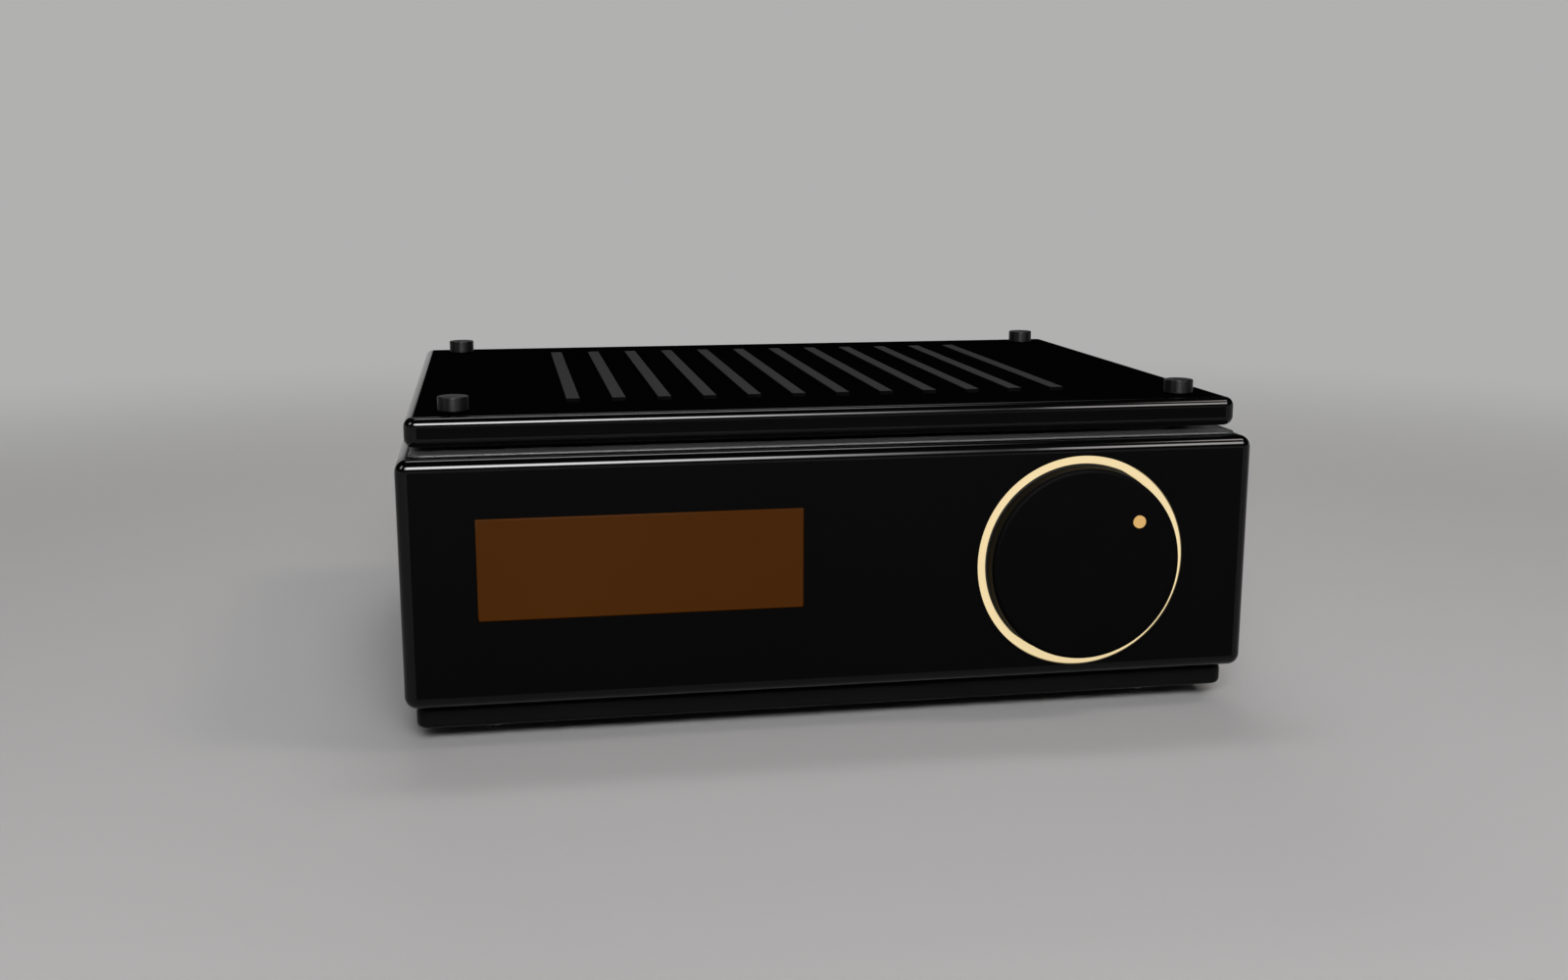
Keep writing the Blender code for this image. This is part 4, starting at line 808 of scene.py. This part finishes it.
class RECEIVER_OT_screws_and_feet(bpy.types.Operator):
    """Turn the lid's thumb screws, the feet and their rubber pads"""
    bl_idname = "receiver.screws_and_feet"
    bl_label = "Screws and feet"

    def execute(self, context):
        sizes, colours = settings(context)
        rubber = Finish("pad_rubber", colours.rubber, (0.70, 0.85), cloud=150.0, grain=1800.0,
                        depth=0.00002).material
        rim = sizes.rim_rounding
        _, head, low, high = standing("lid_screw_front_left")
        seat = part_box("lid")[1].z + sizes.seam
        shank = sizes.shank_radius
        outline = [(0, low), (shank - rim, low), (shank, low + rim), (shank, seat), (head - rim, seat),
                   (head, seat + rim), *reversed(arc(head, high, rim, FINE_EDGE_STEPS)), (0, high)]
        self.four("thumb_screw", "lid_screw", outline, "satin_grey", self.screw_metal)
        _, wide, low, high = standing("foot_front_left")
        _, pad, pad_low, pad_high = standing("foot_pad_front_left")
        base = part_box("base_plate")[0].z - sizes.seam
        stem = sizes.stem_radius
        pocket = pad + sizes.seam
        ceiling = pad_high + sizes.seam
        outline = [(0, ceiling), (pocket, ceiling), (pocket, low), (wide - rim, low), (wide, low + rim),
                   *reversed(arc(wide, base, rim, FINE_EDGE_STEPS)), (stem, base), (stem, high),
                   (0, high)]
        self.four("standing_foot", "foot", outline, "satin_grey",
                  lambda name, axis: turned_metal(name, axis, "Z", colours.foot))
        outline = [(0, pad_low), (pad - rim, pad_low), (pad, pad_low + rim), (pad, pad_high),
                   (0, pad_high)]
        self.four("rubber_pad", "foot_pad", outline, "rubber", lambda name, axis: rubber)
        return {"FINISHED"}

    def screw_metal(self, name, axis):
        """Satin grey with turning lines round the screw's axis."""
        shade = bpy.context.scene.receiver_colours.screw
        made = Finish(name, shade, (0.36, 0.44), drift=0.10, specular=0.19, cloud=150.0, grain=4000.0,
                      depth=0.000002, centre=axis)
        made.relief(made.bands("RINGS", "Z", SCREW_PITCH), SCREW_DEPTH)
        round_axis = (("direction_type", "RADIAL"), ("axis", "Z"))
        tangent = made.node("ShaderNodeTangent", round_axis).outputs["Tangent"]
        for socket, value in (("Anisotropic", SCREW_STREAK), ("Anisotropic Rotation", QUARTER_TURN),
                              ("Tangent", tangent)):
            made.feed(made.shader.inputs[socket], value)
        return made.material

    def four(self, name, node, outline, slot, finish):
        """Turn the piece at the front left and put a copy at each other corner."""
        axis = standing(f"{node}_front_left")[0]
        first = turned(f"{name}_front_left", outline, axis, MIDDLE_STEPS)
        start = middle(f"{node}_front_left")
        pieces = [first] + [twin(first, f"{name}_{corner}", middle(f"{node}_{corner}") - start)
                            for corner in CORNERS[1:]]
        for corner, piece in zip(CORNERS, pieces):
            material = finish(f"{name}_finish_{corner}", middle(f"{node}_{corner}"))
            fit(piece, material, slot, f"{node}_{corner}")


class RECEIVER_OT_display(bpy.types.Operator):
    """Model the amber window with the lip that seats behind the front"""
    bl_idname = "receiver.display"
    bl_label = "Display"

    def execute(self, context):
        sizes = context.scene.receiver_sizes
        low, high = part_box("display_window")
        reach = sizes.window_front + sizes.seam
        window = block("amber_window", (low.x, low.y + reach, low.z), high)
        with Shaping(window, "FACE") as shape:
            pick_flat(shape, "y", low.y + reach)
            bpy.ops.mesh.inset(thickness=sizes.window_lip, use_even_offset=True)
            bpy.ops.mesh.extrude_region_move(TRANSFORM_OT_translate={"value": (0, -reach, 0)})
        round_edges(window, lies_at("y", low.y), sizes.seam / 2, FINE_EDGE_STEPS)
        shade = context.scene.receiver_colours.amber
        body = [part * WINDOW_BODY for part in shade]
        glass = Finish("amber_acrylic", body, (0.16, 0.24), drift=0.06, specular=0.08, cloud=14.0,
                       grain=900.0, depth=0.0000006)
        glass.glow(shade, drift=0.05)
        fit(window, glass.material, "amber_window", "display_window")
        return {"FINISHED"}


class RECEIVER_OT_light_ring(bpy.types.Operator):
    """Turn the glowing ring and the dark dial plate inside it"""
    bl_idname = "receiver.light_ring"
    bl_label = "Light ring"

    def execute(self, context):
        sizes, colours = settings(context)
        axis, lip, *_ = on_front("light_ring")
        outer = lip - sizes.ring_lip
        inner = outer - sizes.ring_width
        lip_front = -sizes.ring_depth - sizes.seam
        lip_back = lip_front - sizes.ring_lip_thickness
        edge = sizes.seam / 2
        outline = [(inner, lip_back), (lip, lip_back), (lip, lip_front), (outer, lip_front),
                   (outer, -edge), (outer - edge, 0), (inner + edge, 0), (inner, -edge),
                   (inner, lip_back)]
        ring = turned("glow_ring", outline, axis)
        fit(ring, diffuser("ring_diffuser", colours.ring, cloud=40.0), "warm_diffuser", "light_ring")
        axis, radius, back, front = on_front("dial_plate")
        bore = sizes.dial_bore
        outline = [(bore, back), (radius, back), (radius, front - edge), (radius - edge, front),
                   (bore, front), (bore, back)]
        dial = turned("dial_disc", outline, axis)
        fit(dial, moulded("dial_moulding", colours.moulding), "black_plastic", "dial_plate")
        return {"FINISHED"}


class RECEIVER_OT_volume_knob(bpy.types.Operator):
    """Turn the hollow knob and set its lit pointer into its face"""
    bl_idname = "receiver.volume_knob"
    bl_label = "Volume knob"

    def execute(self, context):
        sizes, colours = settings(context)
        axis, radius, back, front = on_front("volume_knob")
        wall = radius - sizes.knob_wall
        hollow = front - sizes.knob_wall
        hub = sizes.hub_radius
        bore = sizes.shaft_radius + sizes.seam
        outline = [(0, front), *arc(radius, front, sizes.knob_rounding), (radius, back + sizes.seam),
                   (radius - sizes.seam, back), (wall, back), (wall, hollow), (hub, hollow),
                   (hub, back), (bore, back), (bore, hollow), (0, hollow)]
        knob = turned("knob_cap", outline, axis)
        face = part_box("volume_knob")[0].y
        dot = middle("knob_pointer")
        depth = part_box("knob_pointer")[1].y - face
        spot = half_width("knob_pointer")
        place = Matrix.Translation((dot.x, face, dot.z)) @ FACING_FRONT
        pocket = rod(spot + sizes.seam, -depth - sizes.seam, OVERLAP)
        cut(knob, turned("pocket", pocket, place, MIDDLE_STEPS))
        coat = soft_black("knob_coat", middle("volume_knob"))
        fit(knob, coat, "gloss_black", "volume_knob", body="knob")
        edge = sizes.seam / 2
        outline = [(0, -depth), (spot, -depth), (spot, -edge), (spot - edge, 0), (0, 0)]
        pointer = turned("knob_dot", outline, place, MIDDLE_STEPS)
        lit = diffuser("pointer_diffuser", colours.pointer, cloud=200.0)
        fit(pointer, lit, "amber_diffuser", "knob_pointer", body="knob")
        return {"FINISHED"}


class RECEIVER_OT_inside(bpy.types.Operator):
    """Finish the solids that stay as they are: the fins and everything inside the case"""
    bl_idname = "receiver.inside"
    bl_label = "Fins and inner parts"

    def execute(self, context):
        colours = context.scene.receiver_colours
        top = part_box("heat_sink")[1].z
        # The fins carry painted light: their top faces are coloured lighter than their sides
        dress(fins_with_painted_lit_tops("fin_satin_painted_tops", colours.satin, colours.fin_top_painted_light, top), "heat_sink")
        steel = Finish("zinc_plate", colours.zinc, (0.28, 0.42), drift=0.12, metallic=1.0, cloud=45.0,
                       grain=900.0, depth=0.000004, stretch=(1, 0.06, 1))
        dress(steel.material, "chassis_floor", "control_bracket", "volume_control", "control_nut")
        board = Finish("solder_mask", colours.board, (0.34, 0.46), drift=0.30, cloud=160.0,
                       grain=1400.0, depth=0.000004)
        tracks = board.node("ShaderNodeTexBrick", Vector=board.place, Scale=55.0, Mortar_Size=0.06)
        board.relief(tracks.outputs["Fac"], depth=0.00003)
        dress(board.material, "amplifier_board", "tuner_board", "display_board", "ring_light_board")
        transistors = [f"output_transistor_{side}_{row}" for side in ("left", "right")
                       for row in ("front", "rear")]
        dress(moulded("case_moulding", colours.moulding), "display_panel", *transistors)
        sleeve = Finish("sleeve_blue", colours.sleeve, (0.26, 0.36), drift=0.10, cloud=90.0,
                        grain=700.0, depth=0.000006)
        dress(sleeve.material, "reservoir_capacitor_left", "reservoir_capacitor_right")
        core = Finish("laminations", colours.core, (0.40, 0.55), drift=0.20, metallic=0.9, cloud=80.0)
        core.relief(core.bands("BANDS", "X", pitch=0.0005), depth=0.00006)
        dress(core.material, "transformer_core")
        wire = Finish("enamelled_wire", colours.wire, (0.25, 0.38), metallic=0.8, cloud=200.0)
        wire.relief(wire.bands("BANDS", "Z", pitch=0.0006), depth=0.00010)
        dress(wire.material, "transformer_winding")
        dress(turned_metal("shaft_brass", middle("volume_shaft"), "Y", colours.gold), "volume_shaft")
        return {"FINISHED"}


class RECEIVER_OT_rear_panel(bpy.types.Operator):
    """Model the coated rear panel with its cut-outs and its cross-head screws"""
    bl_idname = "receiver.rear_panel"
    bl_label = "Rear panel"

    def execute(self, context):
        sizes, colours = settings(context)
        low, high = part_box("rear_panel")
        panel = block("rear_sheet", low, high)
        rounds = [(middle(f"speaker_post_{name}"), sizes.collar_radius) for name in POSTS]
        rounds += [(centre, sizes.jack_radius) for centre in jack_centres(sizes)]
        rounds.append((middle("antenna_socket"), sizes.aerial_radius))
        shank = sizes.bolt_radius / 2
        inset = sizes.bolt_inset
        bolts = [Vector((x, high.y, z)) for x in (low.x + inset, 0.0, high.x - inset)
                 for z in (low.z + inset, high.z - inset)]
        rounds += [(bolt, shank) for bolt in bolts]
        for centre, radius in rounds:
            place = Matrix.Translation((centre.x, 0, centre.z)) @ FACING_REAR
            drill(panel, radius + sizes.seam, low.y - OVERLAP, high.y + OVERLAP, place)
        for node, flange in (("mains_inlet", sizes.inlet_flange),
                             ("power_switch_frame", sizes.switch_flange)):
            cut(panel, opening(node, flange - sizes.seam, low.y - OVERLAP, high.y + OVERLAP))
        coat = Finish("sheet_coat", colours.coat, (0.42, 0.55), specular=0.35, cloud=40.0, grain=1500.0,
                      depth=0.00002).material
        fit(panel, coat, "black_plastic", "rear_panel")
        first = self.bolt(sizes, bolts[0], low.y - high.y, shank)
        copies = [twin(first, f"panel_screw_{place}", bolt - bolts[0])
                  for place, bolt in enumerate(bolts[1:], 2)]
        for piece, bolt in zip([first, *copies], bolts):
            fit(piece, turned_metal(f"{piece.name}_zinc", bolt, "Y", colours.nickel), "steel")
        return {"FINISHED"}

    def bolt(self, sizes, place, inside, shank):
        """A pan head with a cross recess, and the shank behind it."""
        head = sizes.bolt_radius
        top = sizes.bolt_height
        outline = [(0, inside), (shank, inside), (shank, 0), (head, 0),
                   *reversed(arc(head, top, top / 2, FINE_EDGE_STEPS)), (0, top)]
        piece = turned("panel_screw_1", outline, Matrix.Translation(place) @ FACING_REAR, SMALL_STEPS)
        long, thin = head * CROSS_LENGTH, head * CROSS_WIDTH
        for half_x, half_z in ((long, thin), (thin, long)):
            reach = Vector((half_x, 0, half_z))
            cut(piece, block("slot", place - reach + Vector((0, top * CROSS_FLOOR, 0)),
                             place + reach + Vector((0, top + OVERLAP, 0))))
        return piece


def jack_centres(sizes):
    """Centres of the phono sockets: the right channel's row below, the left channel's above."""
    centre = middle("input_jacks")
    return [centre + Vector((column * sizes.jack_pitch, 0, row * sizes.jack_pitch))
            for row in (-0.5, 0.5) for column in (-1, 0, 1)]


class RECEIVER_OT_speaker_terminals(bpy.types.Operator):
    """Turn the binding posts, their washers and their fluted caps"""
    bl_idname = "receiver.speaker_terminals"
    bl_label = "Speaker terminals"

    def execute(self, context):
        sizes, colours = settings(context)
        post, washer, cap = self.first(sizes)
        start = middle(f"speaker_post_{POSTS[0]}")
        for name in POSTS:
            axis = middle(f"speaker_post_{name}")
            plus = name.endswith("plus")
            plastic = colours.red if plus else colours.moulding
            made = ((post, "post_stud", "speaker_post", "chassis", "brass",
                     turned_metal(f"post_gold_{name}", axis, "Y", colours.gold, (0.18, 0.26))),
                    (washer, "post_ring", "post_washer", f"washer_{name}", "steel",
                     turned_metal(f"washer_nickel_{name}", axis, "Y", colours.nickel)),
                    (cap, "post_grip", "post_cap", f"cap_{name}",
                     "red_plastic" if plus else "black_plastic",
                     moulded(f"cap_plastic_{name}", plastic, (0.28, 0.38))))
            for piece, title, node, body, slot, material in made:
                copy = twin(piece, f"{title}_{name}", axis - start)
                fit(copy, material, slot, f"{node}_{name}", body=body)
        for piece in (post, washer, cap):
            bpy.data.objects.remove(piece)
        return {"FINISHED"}

    def first(self, sizes):
        """The three pieces of the first terminal, which the others are copied from."""
        name = POSTS[0]
        panel_low, panel_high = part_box("rear_panel")
        inside = panel_low.y - panel_high.y
        axis, flange, start, end = on_rear(f"speaker_post_{name}")
        outer = sizes.seam + sizes.flange_thickness
        edge = sizes.seam
        collar, stud, bore = sizes.collar_radius, sizes.stud_radius, sizes.stud_bore
        post = turned("post", [
            (0, start), (stud, start), (stud, inside), (collar, inside), (collar, edge), (flange, edge),
            (flange, outer - edge), (flange - edge, outer), (stud, outer), (stud, end - edge),
            (stud - edge, end), (bore, end), (bore, outer + edge), (0, outer + edge)],
            axis, MIDDLE_STEPS)
        hole = stud + sizes.seam
        _, rim, low, high = on_rear(f"post_washer_{name}")
        washer = turned("washer", [
            (hole, low), (rim - edge, low), (rim, low + edge), (rim, high - edge), (rim - edge, high),
            (hole, high), (hole, low)], axis, MIDDLE_STEPS)
        _, radius, low, high = on_rear(f"post_cap_{name}")
        round_end = arc(radius, high, sizes.cap_edge, FINE_EDGE_STEPS)
        cap = turned("cap", [
            (hole, low), (radius - edge, low), (radius, low + edge), *reversed(round_end), (hole, high),
            (hole, low)], axis, MIDDLE_STEPS * 2)
        cut(cap, self.flutes(sizes, radius, low, high, axis))
        return post, washer, cap

    def flutes(self, sizes, radius, low, high, place):
        """Rods round the cap's outside that leave a plain collar next to the washer."""
        flute = sizes.flute_radius
        start, end = low + (high - low) * CAP_COLLAR, high + OVERLAP
        shift = Matrix.Translation((radius + flute - sizes.flute_depth, 0, 0))
        outline = [(0, start), (flute, start + flute), (flute, end), (0, end)]
        tool = turned("flutes", outline, shift, SMALL_STEPS // 2)
        count = sizes.flute_count
        with Shaping(tool, "VERT"):
            bpy.ops.mesh.select_all(action="SELECT")
            bpy.ops.mesh.spin(steps=count - 1, dupli=True, angle=2 * math.pi * (count - 1) / count,
                              center=(0, 0, 0), axis=(0, 0, 1))
        return set_down(tool, place)


class RECEIVER_OT_sockets(bpy.types.Operator):
    """Model the phono sockets and the aerial socket"""
    bl_idname = "receiver.sockets"
    bl_label = "Phono and aerial sockets"

    def execute(self, context):
        sizes, colours = settings(context)
        low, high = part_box("input_jacks")
        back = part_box("rear_panel")[0].y - sizes.seam
        body = block("jack_block", low, (high.x, back, high.z))
        round_edges(body, lambda first, second: True, sizes.seam, FINE_EDGE_STEPS)
        fit(body, moulded("jack_moulding", colours.moulding), "black_plastic", "input_jacks")
        tip = high.y - back
        wall = sizes.jack_radius - sizes.jack_shell
        edge = sizes.seam / 2
        shell = [(wall, 0), (sizes.jack_radius, 0),
                 *reversed(arc(sizes.jack_radius, tip, edge, steps=2)), (wall, tip), (wall, 0)]
        sunk = tip - 2 * sizes.jack_shell
        bore = sizes.jack_bore
        liner = [(bore, 0), (wall, 0), (wall, sunk), (bore + edge, sunk), (bore, sunk - edge),
                 (bore, 0)]
        centres = [Vector((centre.x, back, centre.z)) for centre in jack_centres(sizes)]
        place = Matrix.Translation(centres[0]) @ FACING_REAR
        pieces = (turned("shell", shell, place, MIDDLE_STEPS),
                  turned("liner", liner, place, MIDDLE_STEPS))
        red = moulded("jack_red", colours.red)
        white = moulded("jack_white", colours.white)
        for count, centre in enumerate(centres, 1):
            barrel = twin(pieces[0], f"jack_barrel_{count}", centre - centres[0])
            fit(barrel, turned_metal(f"jack_gold_{count}", centre, "Y", colours.gold), "brass")
            insert = twin(pieces[1], f"jack_liner_{count}", centre - centres[0])
            right = count <= len(centres) // 2
            fit(insert, red if right else white, "red_plastic" if right else "black_plastic")
        for piece in pieces:
            bpy.data.objects.remove(piece)
        self.aerial(sizes, colours)
        return {"FINISHED"}

    def aerial(self, sizes, colours):
        """The flanged aerial socket with its centre pin."""
        axis, flange, start, tip = on_rear("antenna_socket")
        outer = sizes.seam + sizes.flange_thickness
        edge = sizes.seam
        radius, bore, pin = sizes.aerial_radius, sizes.aerial_bore, sizes.aerial_pin
        outline = [(0, start), (radius, start), (radius, edge), (flange, edge), (flange, outer - edge),
                   (flange - edge, outer), (radius, outer), (radius, tip - edge), (radius - edge, tip),
                   (bore, tip), (bore, outer), (pin, outer),
                   *reversed(arc(pin, tip - OVERLAP, pin / 2, FINE_EDGE_STEPS)), (0, tip - OVERLAP)]
        socket = turned("aerial_socket", outline, axis, MIDDLE_STEPS)
        material = turned_metal("aerial_nickel", middle("antenna_socket"), "Y", colours.nickel)
        fit(socket, material, "steel", "antenna_socket")


class RECEIVER_OT_mains(bpy.types.Operator):
    """Model the mains inlet with its pins, and the power switch with its rocker"""
    bl_idname = "receiver.mains"
    bl_label = "Mains inlet and switch"

    def execute(self, context):
        sizes, colours = settings(context)
        plastic = moulded("mains_moulding", colours.moulding)
        inlet = self.flanged("inlet_shell", "mains_inlet", sizes.inlet_flange,
                             sizes.inlet_flange_thickness, sizes.inlet_flange)
        low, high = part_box("mains_inlet")
        wall = sizes.inlet_flange + sizes.inlet_wall
        floor = high.y - sizes.inlet_recess
        recess = opening("mains_inlet", wall, floor, high.y + OVERLAP)
        top, deep = high.z - wall, runs_along("y")
        round_edges(recess, lambda first, second: deep(first, second) and first.z > top - NEAR,
                    sizes.inlet_corner, steps=1)
        cut(inlet, recess)
        fit(inlet, plastic, "black_plastic", "mains_inlet")
        centre = (low + high) / 2
        half = Vector((sizes.pin_width, 0, sizes.pin_height)) / 2
        spread, drop = sizes.pin_spread, sizes.pin_height / 2
        for count, (x, z) in enumerate(((-spread, -drop), (spread, -drop), (0, 2 * drop)), 1):
            root = Vector((centre.x + x, floor, centre.z + z))
            end = Vector((0, sizes.pin_length, 0))
            pin = block(f"inlet_pin_{count}", root - half, root + half + end)
            round_edges(pin, lies_at("y", floor + sizes.pin_length), sizes.pin_width * CHAMFER_SHARE,
                        FINE_EDGE_STEPS)
            fit(pin, turned_metal(f"pin_nickel_{count}", root, "Y", colours.nickel), "brass")
        self.switch(sizes, colours, plastic)
        return {"FINISHED"}

    def flanged(self, name, node, flange, thickness, corner):
        """A box behind a flange with rounded corners."""
        low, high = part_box(node)
        seat = high.y - thickness
        body = block(name, (low.x, seat, low.z), high)
        round_edges(body, runs_along("y"), corner)
        round_edges(body, lies_at("y", high.y), thickness * CHAMFER_SHARE, FINE_EDGE_STEPS)
        cut(body, opening(node, flange, low.y, seat + OVERLAP), "UNION")
        return body

    def switch(self, sizes, colours, plastic):
        """The switch's frame with its well, and the rocker in it."""
        node = "power_switch_frame"
        bezel = self.flanged("switch_bezel", node, sizes.switch_flange, sizes.switch_flange_thickness,
                             sizes.switch_flange / 2)
        low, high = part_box(node)
        wall = sizes.switch_flange + sizes.switch_wall
        cut(bezel, opening(node, wall, low.y + sizes.switch_wall, high.y + OVERLAP))
        fit(bezel, plastic, "black_plastic", node)
        centre = middle(node)
        centre.y = high.y - sizes.switch_flange_thickness
        tilt = Matrix.Translation(centre) @ Matrix.Rotation(sizes.rocker_tilt, 4, "X")
        rocker = self.rocker(sizes, tilt, half_width("power_rocker"))
        gloss = moulded("rocker_moulding", colours.moulding, (0.26, 0.36))
        fit(rocker, gloss, "black_plastic", "power_rocker", body="rocker")
        self.marks(sizes, colours, tilt)

    def rocker(self, sizes, tilt, half):
        """A rocker whose two faces meet in a shallow valley, over a round back."""
        reach = sizes.rocker_half
        rise = sizes.rocker_face + reach * math.tan(sizes.rocker_tilt)
        turns = [math.pi * step / SMALL_STEPS for step in range(SMALL_STEPS + 1)]
        outline = [(sizes.rocker_face, 0), (rise, reach)]
        outline += [(-sizes.rocker_depth * math.sin(turn), reach * math.cos(turn)) for turn in turns]
        outline.append((rise, -reach))
        piece = line("rocker_key", [(-half, y, z) for y, z in outline])
        with Shaping(piece, "VERT"):
            bpy.ops.mesh.select_all(action="SELECT")
            bpy.ops.mesh.edge_face_add()
            bpy.ops.mesh.extrude_region_move(TRANSFORM_OT_translate={"value": (2 * half, 0, 0)})
            bpy.ops.mesh.select_all(action="SELECT")
            bpy.ops.mesh.normals_make_consistent(inside=False)
        return set_down(piece, tilt)

    def marks(self, sizes, colours, tilt):
        """A bar and a ring on the rocker's two faces, for on and off."""
        paint = moulded("mark_paint", colours.white, (0.5, 0.6))
        slope = sizes.rocker_tilt
        proud = sizes.seam * CHAMFER_SHARE
        half = sizes.rocker_half / 2
        centre = Vector((0, sizes.rocker_face + half * math.tan(slope), half))
        size = sizes.rocker_half * MARK_SIZE
        thin = size * MARK_STROKE
        hole = size - thin
        outline = [(hole, -proud), (size, -proud), (size, proud), (hole, proud), (hole, -proud)]
        place = tilt @ Matrix.Translation(centre) @ Matrix.Rotation(-slope, 4, "X") @ FACING_REAR
        ring = turned("rocker_off_ring", outline, place, SMALL_STEPS)
        fit(ring, paint, "black_plastic", body="rocker")
        bar = block("rocker_on_bar", (-thin / 2, -proud, -size), (thin / 2, proud, size))
        round_edges(bar, runs_along("y"), thin * CHAMFER_SHARE, FINE_EDGE_STEPS)
        centre.z = -half
        set_down(bar, tilt @ Matrix.Translation(centre) @ Matrix.Rotation(slope, 4, "X"))
        fit(bar, paint, "black_plastic", body="rocker")


class RECEIVER_OT_stage(bpy.types.Operator):
    """Set up the pale floor, the soft lamps, the room and the camera"""
    bl_idname = "receiver.stage"
    bl_label = "Stage"

    def execute(self, context):
        stage = context.scene.receiver_stage
        bpy.ops.mesh.primitive_circle_add(vertices=ROUND_STEPS, radius=FLOOR_RADIUS, fill_type="NGON")
        floor = settle("floor")
        floor.data.materials.append(self.floor_paint(stage))
        for lamp in LAMPS:
            self.softbox(*lamp)
        self.room(context.scene, stage)
        bpy.ops.object.camera_add(location=stage.camera_place, rotation=stage.camera_turn)
        camera = bpy.context.object
        camera.name = "camera"
        camera.data.sensor_width = SENSOR_WIDTH
        camera.data.lens = stage.camera_lens
        camera.data.clip_start = CLIP_START
        context.scene.camera = camera
        context.scene.view_settings.view_transform = "Standard"
        return {"FINISHED"}

    def floor_paint(self, stage):
        """Pale paint that passes into the far ground away from the object."""
        made = Finish("floor_paint", stage.floor, (0.65, 0.75), drift=0.015, specular=MATT, cloud=1.5,
                      grain=300.0, depth=0.00002)
        reach = made.node("ShaderNodeVectorMath", (("operation", "LENGTH"),))
        made.feed(reach.inputs[0], made.place)
        share = made.math("MULTIPLY", made.fade(reach.outputs["Value"], *FLOOR_FADE), made.shown())
        far = made.node("ShaderNodeEmission", Color=(*stage.far, 1.0))
        mix = made.node("ShaderNodeMixShader")
        for place, value in enumerate((share, made.shader.outputs["BSDF"], far.outputs["Emission"])):
            made.feed(mix.inputs[place], value)
        made.feed(made.tree.nodes["Material Output"].inputs["Surface"], mix.outputs["Shader"])
        return made.material

    def softbox(self, name, place, size, plateau, radiance, shade, reach):
        """A soft lamp: a panel that shines on one side and fades from its plateau to its edges."""
        bpy.ops.mesh.primitive_plane_add(size=1)
        panel = settle(f"softbox_{name}")
        panel.location = place
        panel.rotation_mode = "QUATERNION"
        panel.rotation_quaternion = (LAMP_AIM - Vector(place)).to_track_quat("Z", "Y")
        panel.scale = (*size, 1)
        material = bpy.data.materials.new(f"softbox_{name}")
        material.use_nodes = True
        graph = Graph(material.node_tree)
        graph.tree.nodes.remove(graph.tree.nodes["Principled BSDF"])
        place = graph.node("ShaderNodeTexCoord").outputs["Object"]
        parts = graph.node("ShaderNodeSeparateXYZ", Vector=place)
        backing = graph.node("ShaderNodeNewGeometry").outputs["Backfacing"]
        level = graph.math("SUBTRACT", radiance, graph.math("MULTIPLY", backing, radiance))
        for axis, start in zip("XY", plateau):
            side = graph.math("ABSOLUTE", parts.outputs[axis], 0.0)
            level = graph.math("MULTIPLY", level, graph.fade(side, PANEL_EDGE, start))
        lamp = graph.node("ShaderNodeEmission", Color=(*shade, 1.0), Strength=level)
        graph.feed(graph.tree.nodes["Material Output"].inputs["Surface"], lamp.outputs["Emission"])
        panel.data.materials.append(material)
        panel.visible_camera = False
        panel.visible_diffuse, panel.visible_glossy = reach
        panel.visible_shadow = panel.visible_diffuse

    def room(self, scene, stage):
        """A room that is pale near the ground and dark above, with a soft fill for matt surfaces."""
        scene.world = bpy.data.worlds.new("room")
        scene.world.use_nodes = True
        graph = Graph(scene.world.node_tree)
        way = graph.node("ShaderNodeTexCoord").outputs["Generated"]
        rise = graph.node("ShaderNodeSeparateXYZ", Vector=way).outputs["Z"]
        view = graph.mix(graph.fade(rise, *ROOM_FADE), (*stage.far, 1.0), (*stage.high, 1.0))
        fill = (stage.fill, stage.fill, stage.fill, 1.0)
        graph.feed(graph.tree.nodes["Background"].inputs["Color"], graph.mix(graph.shown(), fill, view))


class RECEIVER_PT_pieces(bpy.types.Panel):
    """Lists the steps that model the receiver, and the sizes and colours they use"""
    bl_idname = "RECEIVER_PT_pieces"
    bl_label = "Stereo receiver"
    bl_space_type = "VIEW_3D"
    bl_region_type = "UI"
    bl_category = "Receiver"

    def draw(self, context):
        for step in STEPS:
            self.layout.operator(step.bl_idname)
        for group in (context.scene.receiver_sizes, context.scene.receiver_colours,
                      context.scene.receiver_stage):
            column = self.layout.column()
            for name in group.__annotations__:
                column.prop(group, name)


STEPS = (RECEIVER_OT_front_panel, RECEIVER_OT_side_panels, RECEIVER_OT_lid, RECEIVER_OT_plates,
         RECEIVER_OT_screws_and_feet, RECEIVER_OT_display, RECEIVER_OT_light_ring,
         RECEIVER_OT_volume_knob, RECEIVER_OT_rear_panel, RECEIVER_OT_speaker_terminals,
         RECEIVER_OT_sockets, RECEIVER_OT_mains, RECEIVER_OT_inside, RECEIVER_OT_stage)
GROUPS = (("receiver_sizes", ReceiverSizes), ("receiver_colours", ReceiverColours),
          ("receiver_stage", ReceiverStage))


def register():
    for name, group in GROUPS:
        bpy.utils.register_class(group)
        setattr(bpy.types.Scene, name, bpy.props.PointerProperty(type=group))
    for step in STEPS:
        bpy.utils.register_class(step)
    bpy.utils.register_class(RECEIVER_PT_pieces)


def unregister():
    bpy.utils.unregister_class(RECEIVER_PT_pieces)
    for step in reversed(STEPS):
        bpy.utils.unregister_class(step)
    for name, group in reversed(GROUPS):
        delattr(bpy.types.Scene, name)
        bpy.utils.unregister_class(group)


def main():
    register()
    for step in STEPS:
        category, name = step.bl_idname.split(".")
        getattr(getattr(bpy.ops, category), name)()


if __name__ == "__main__":
    main()
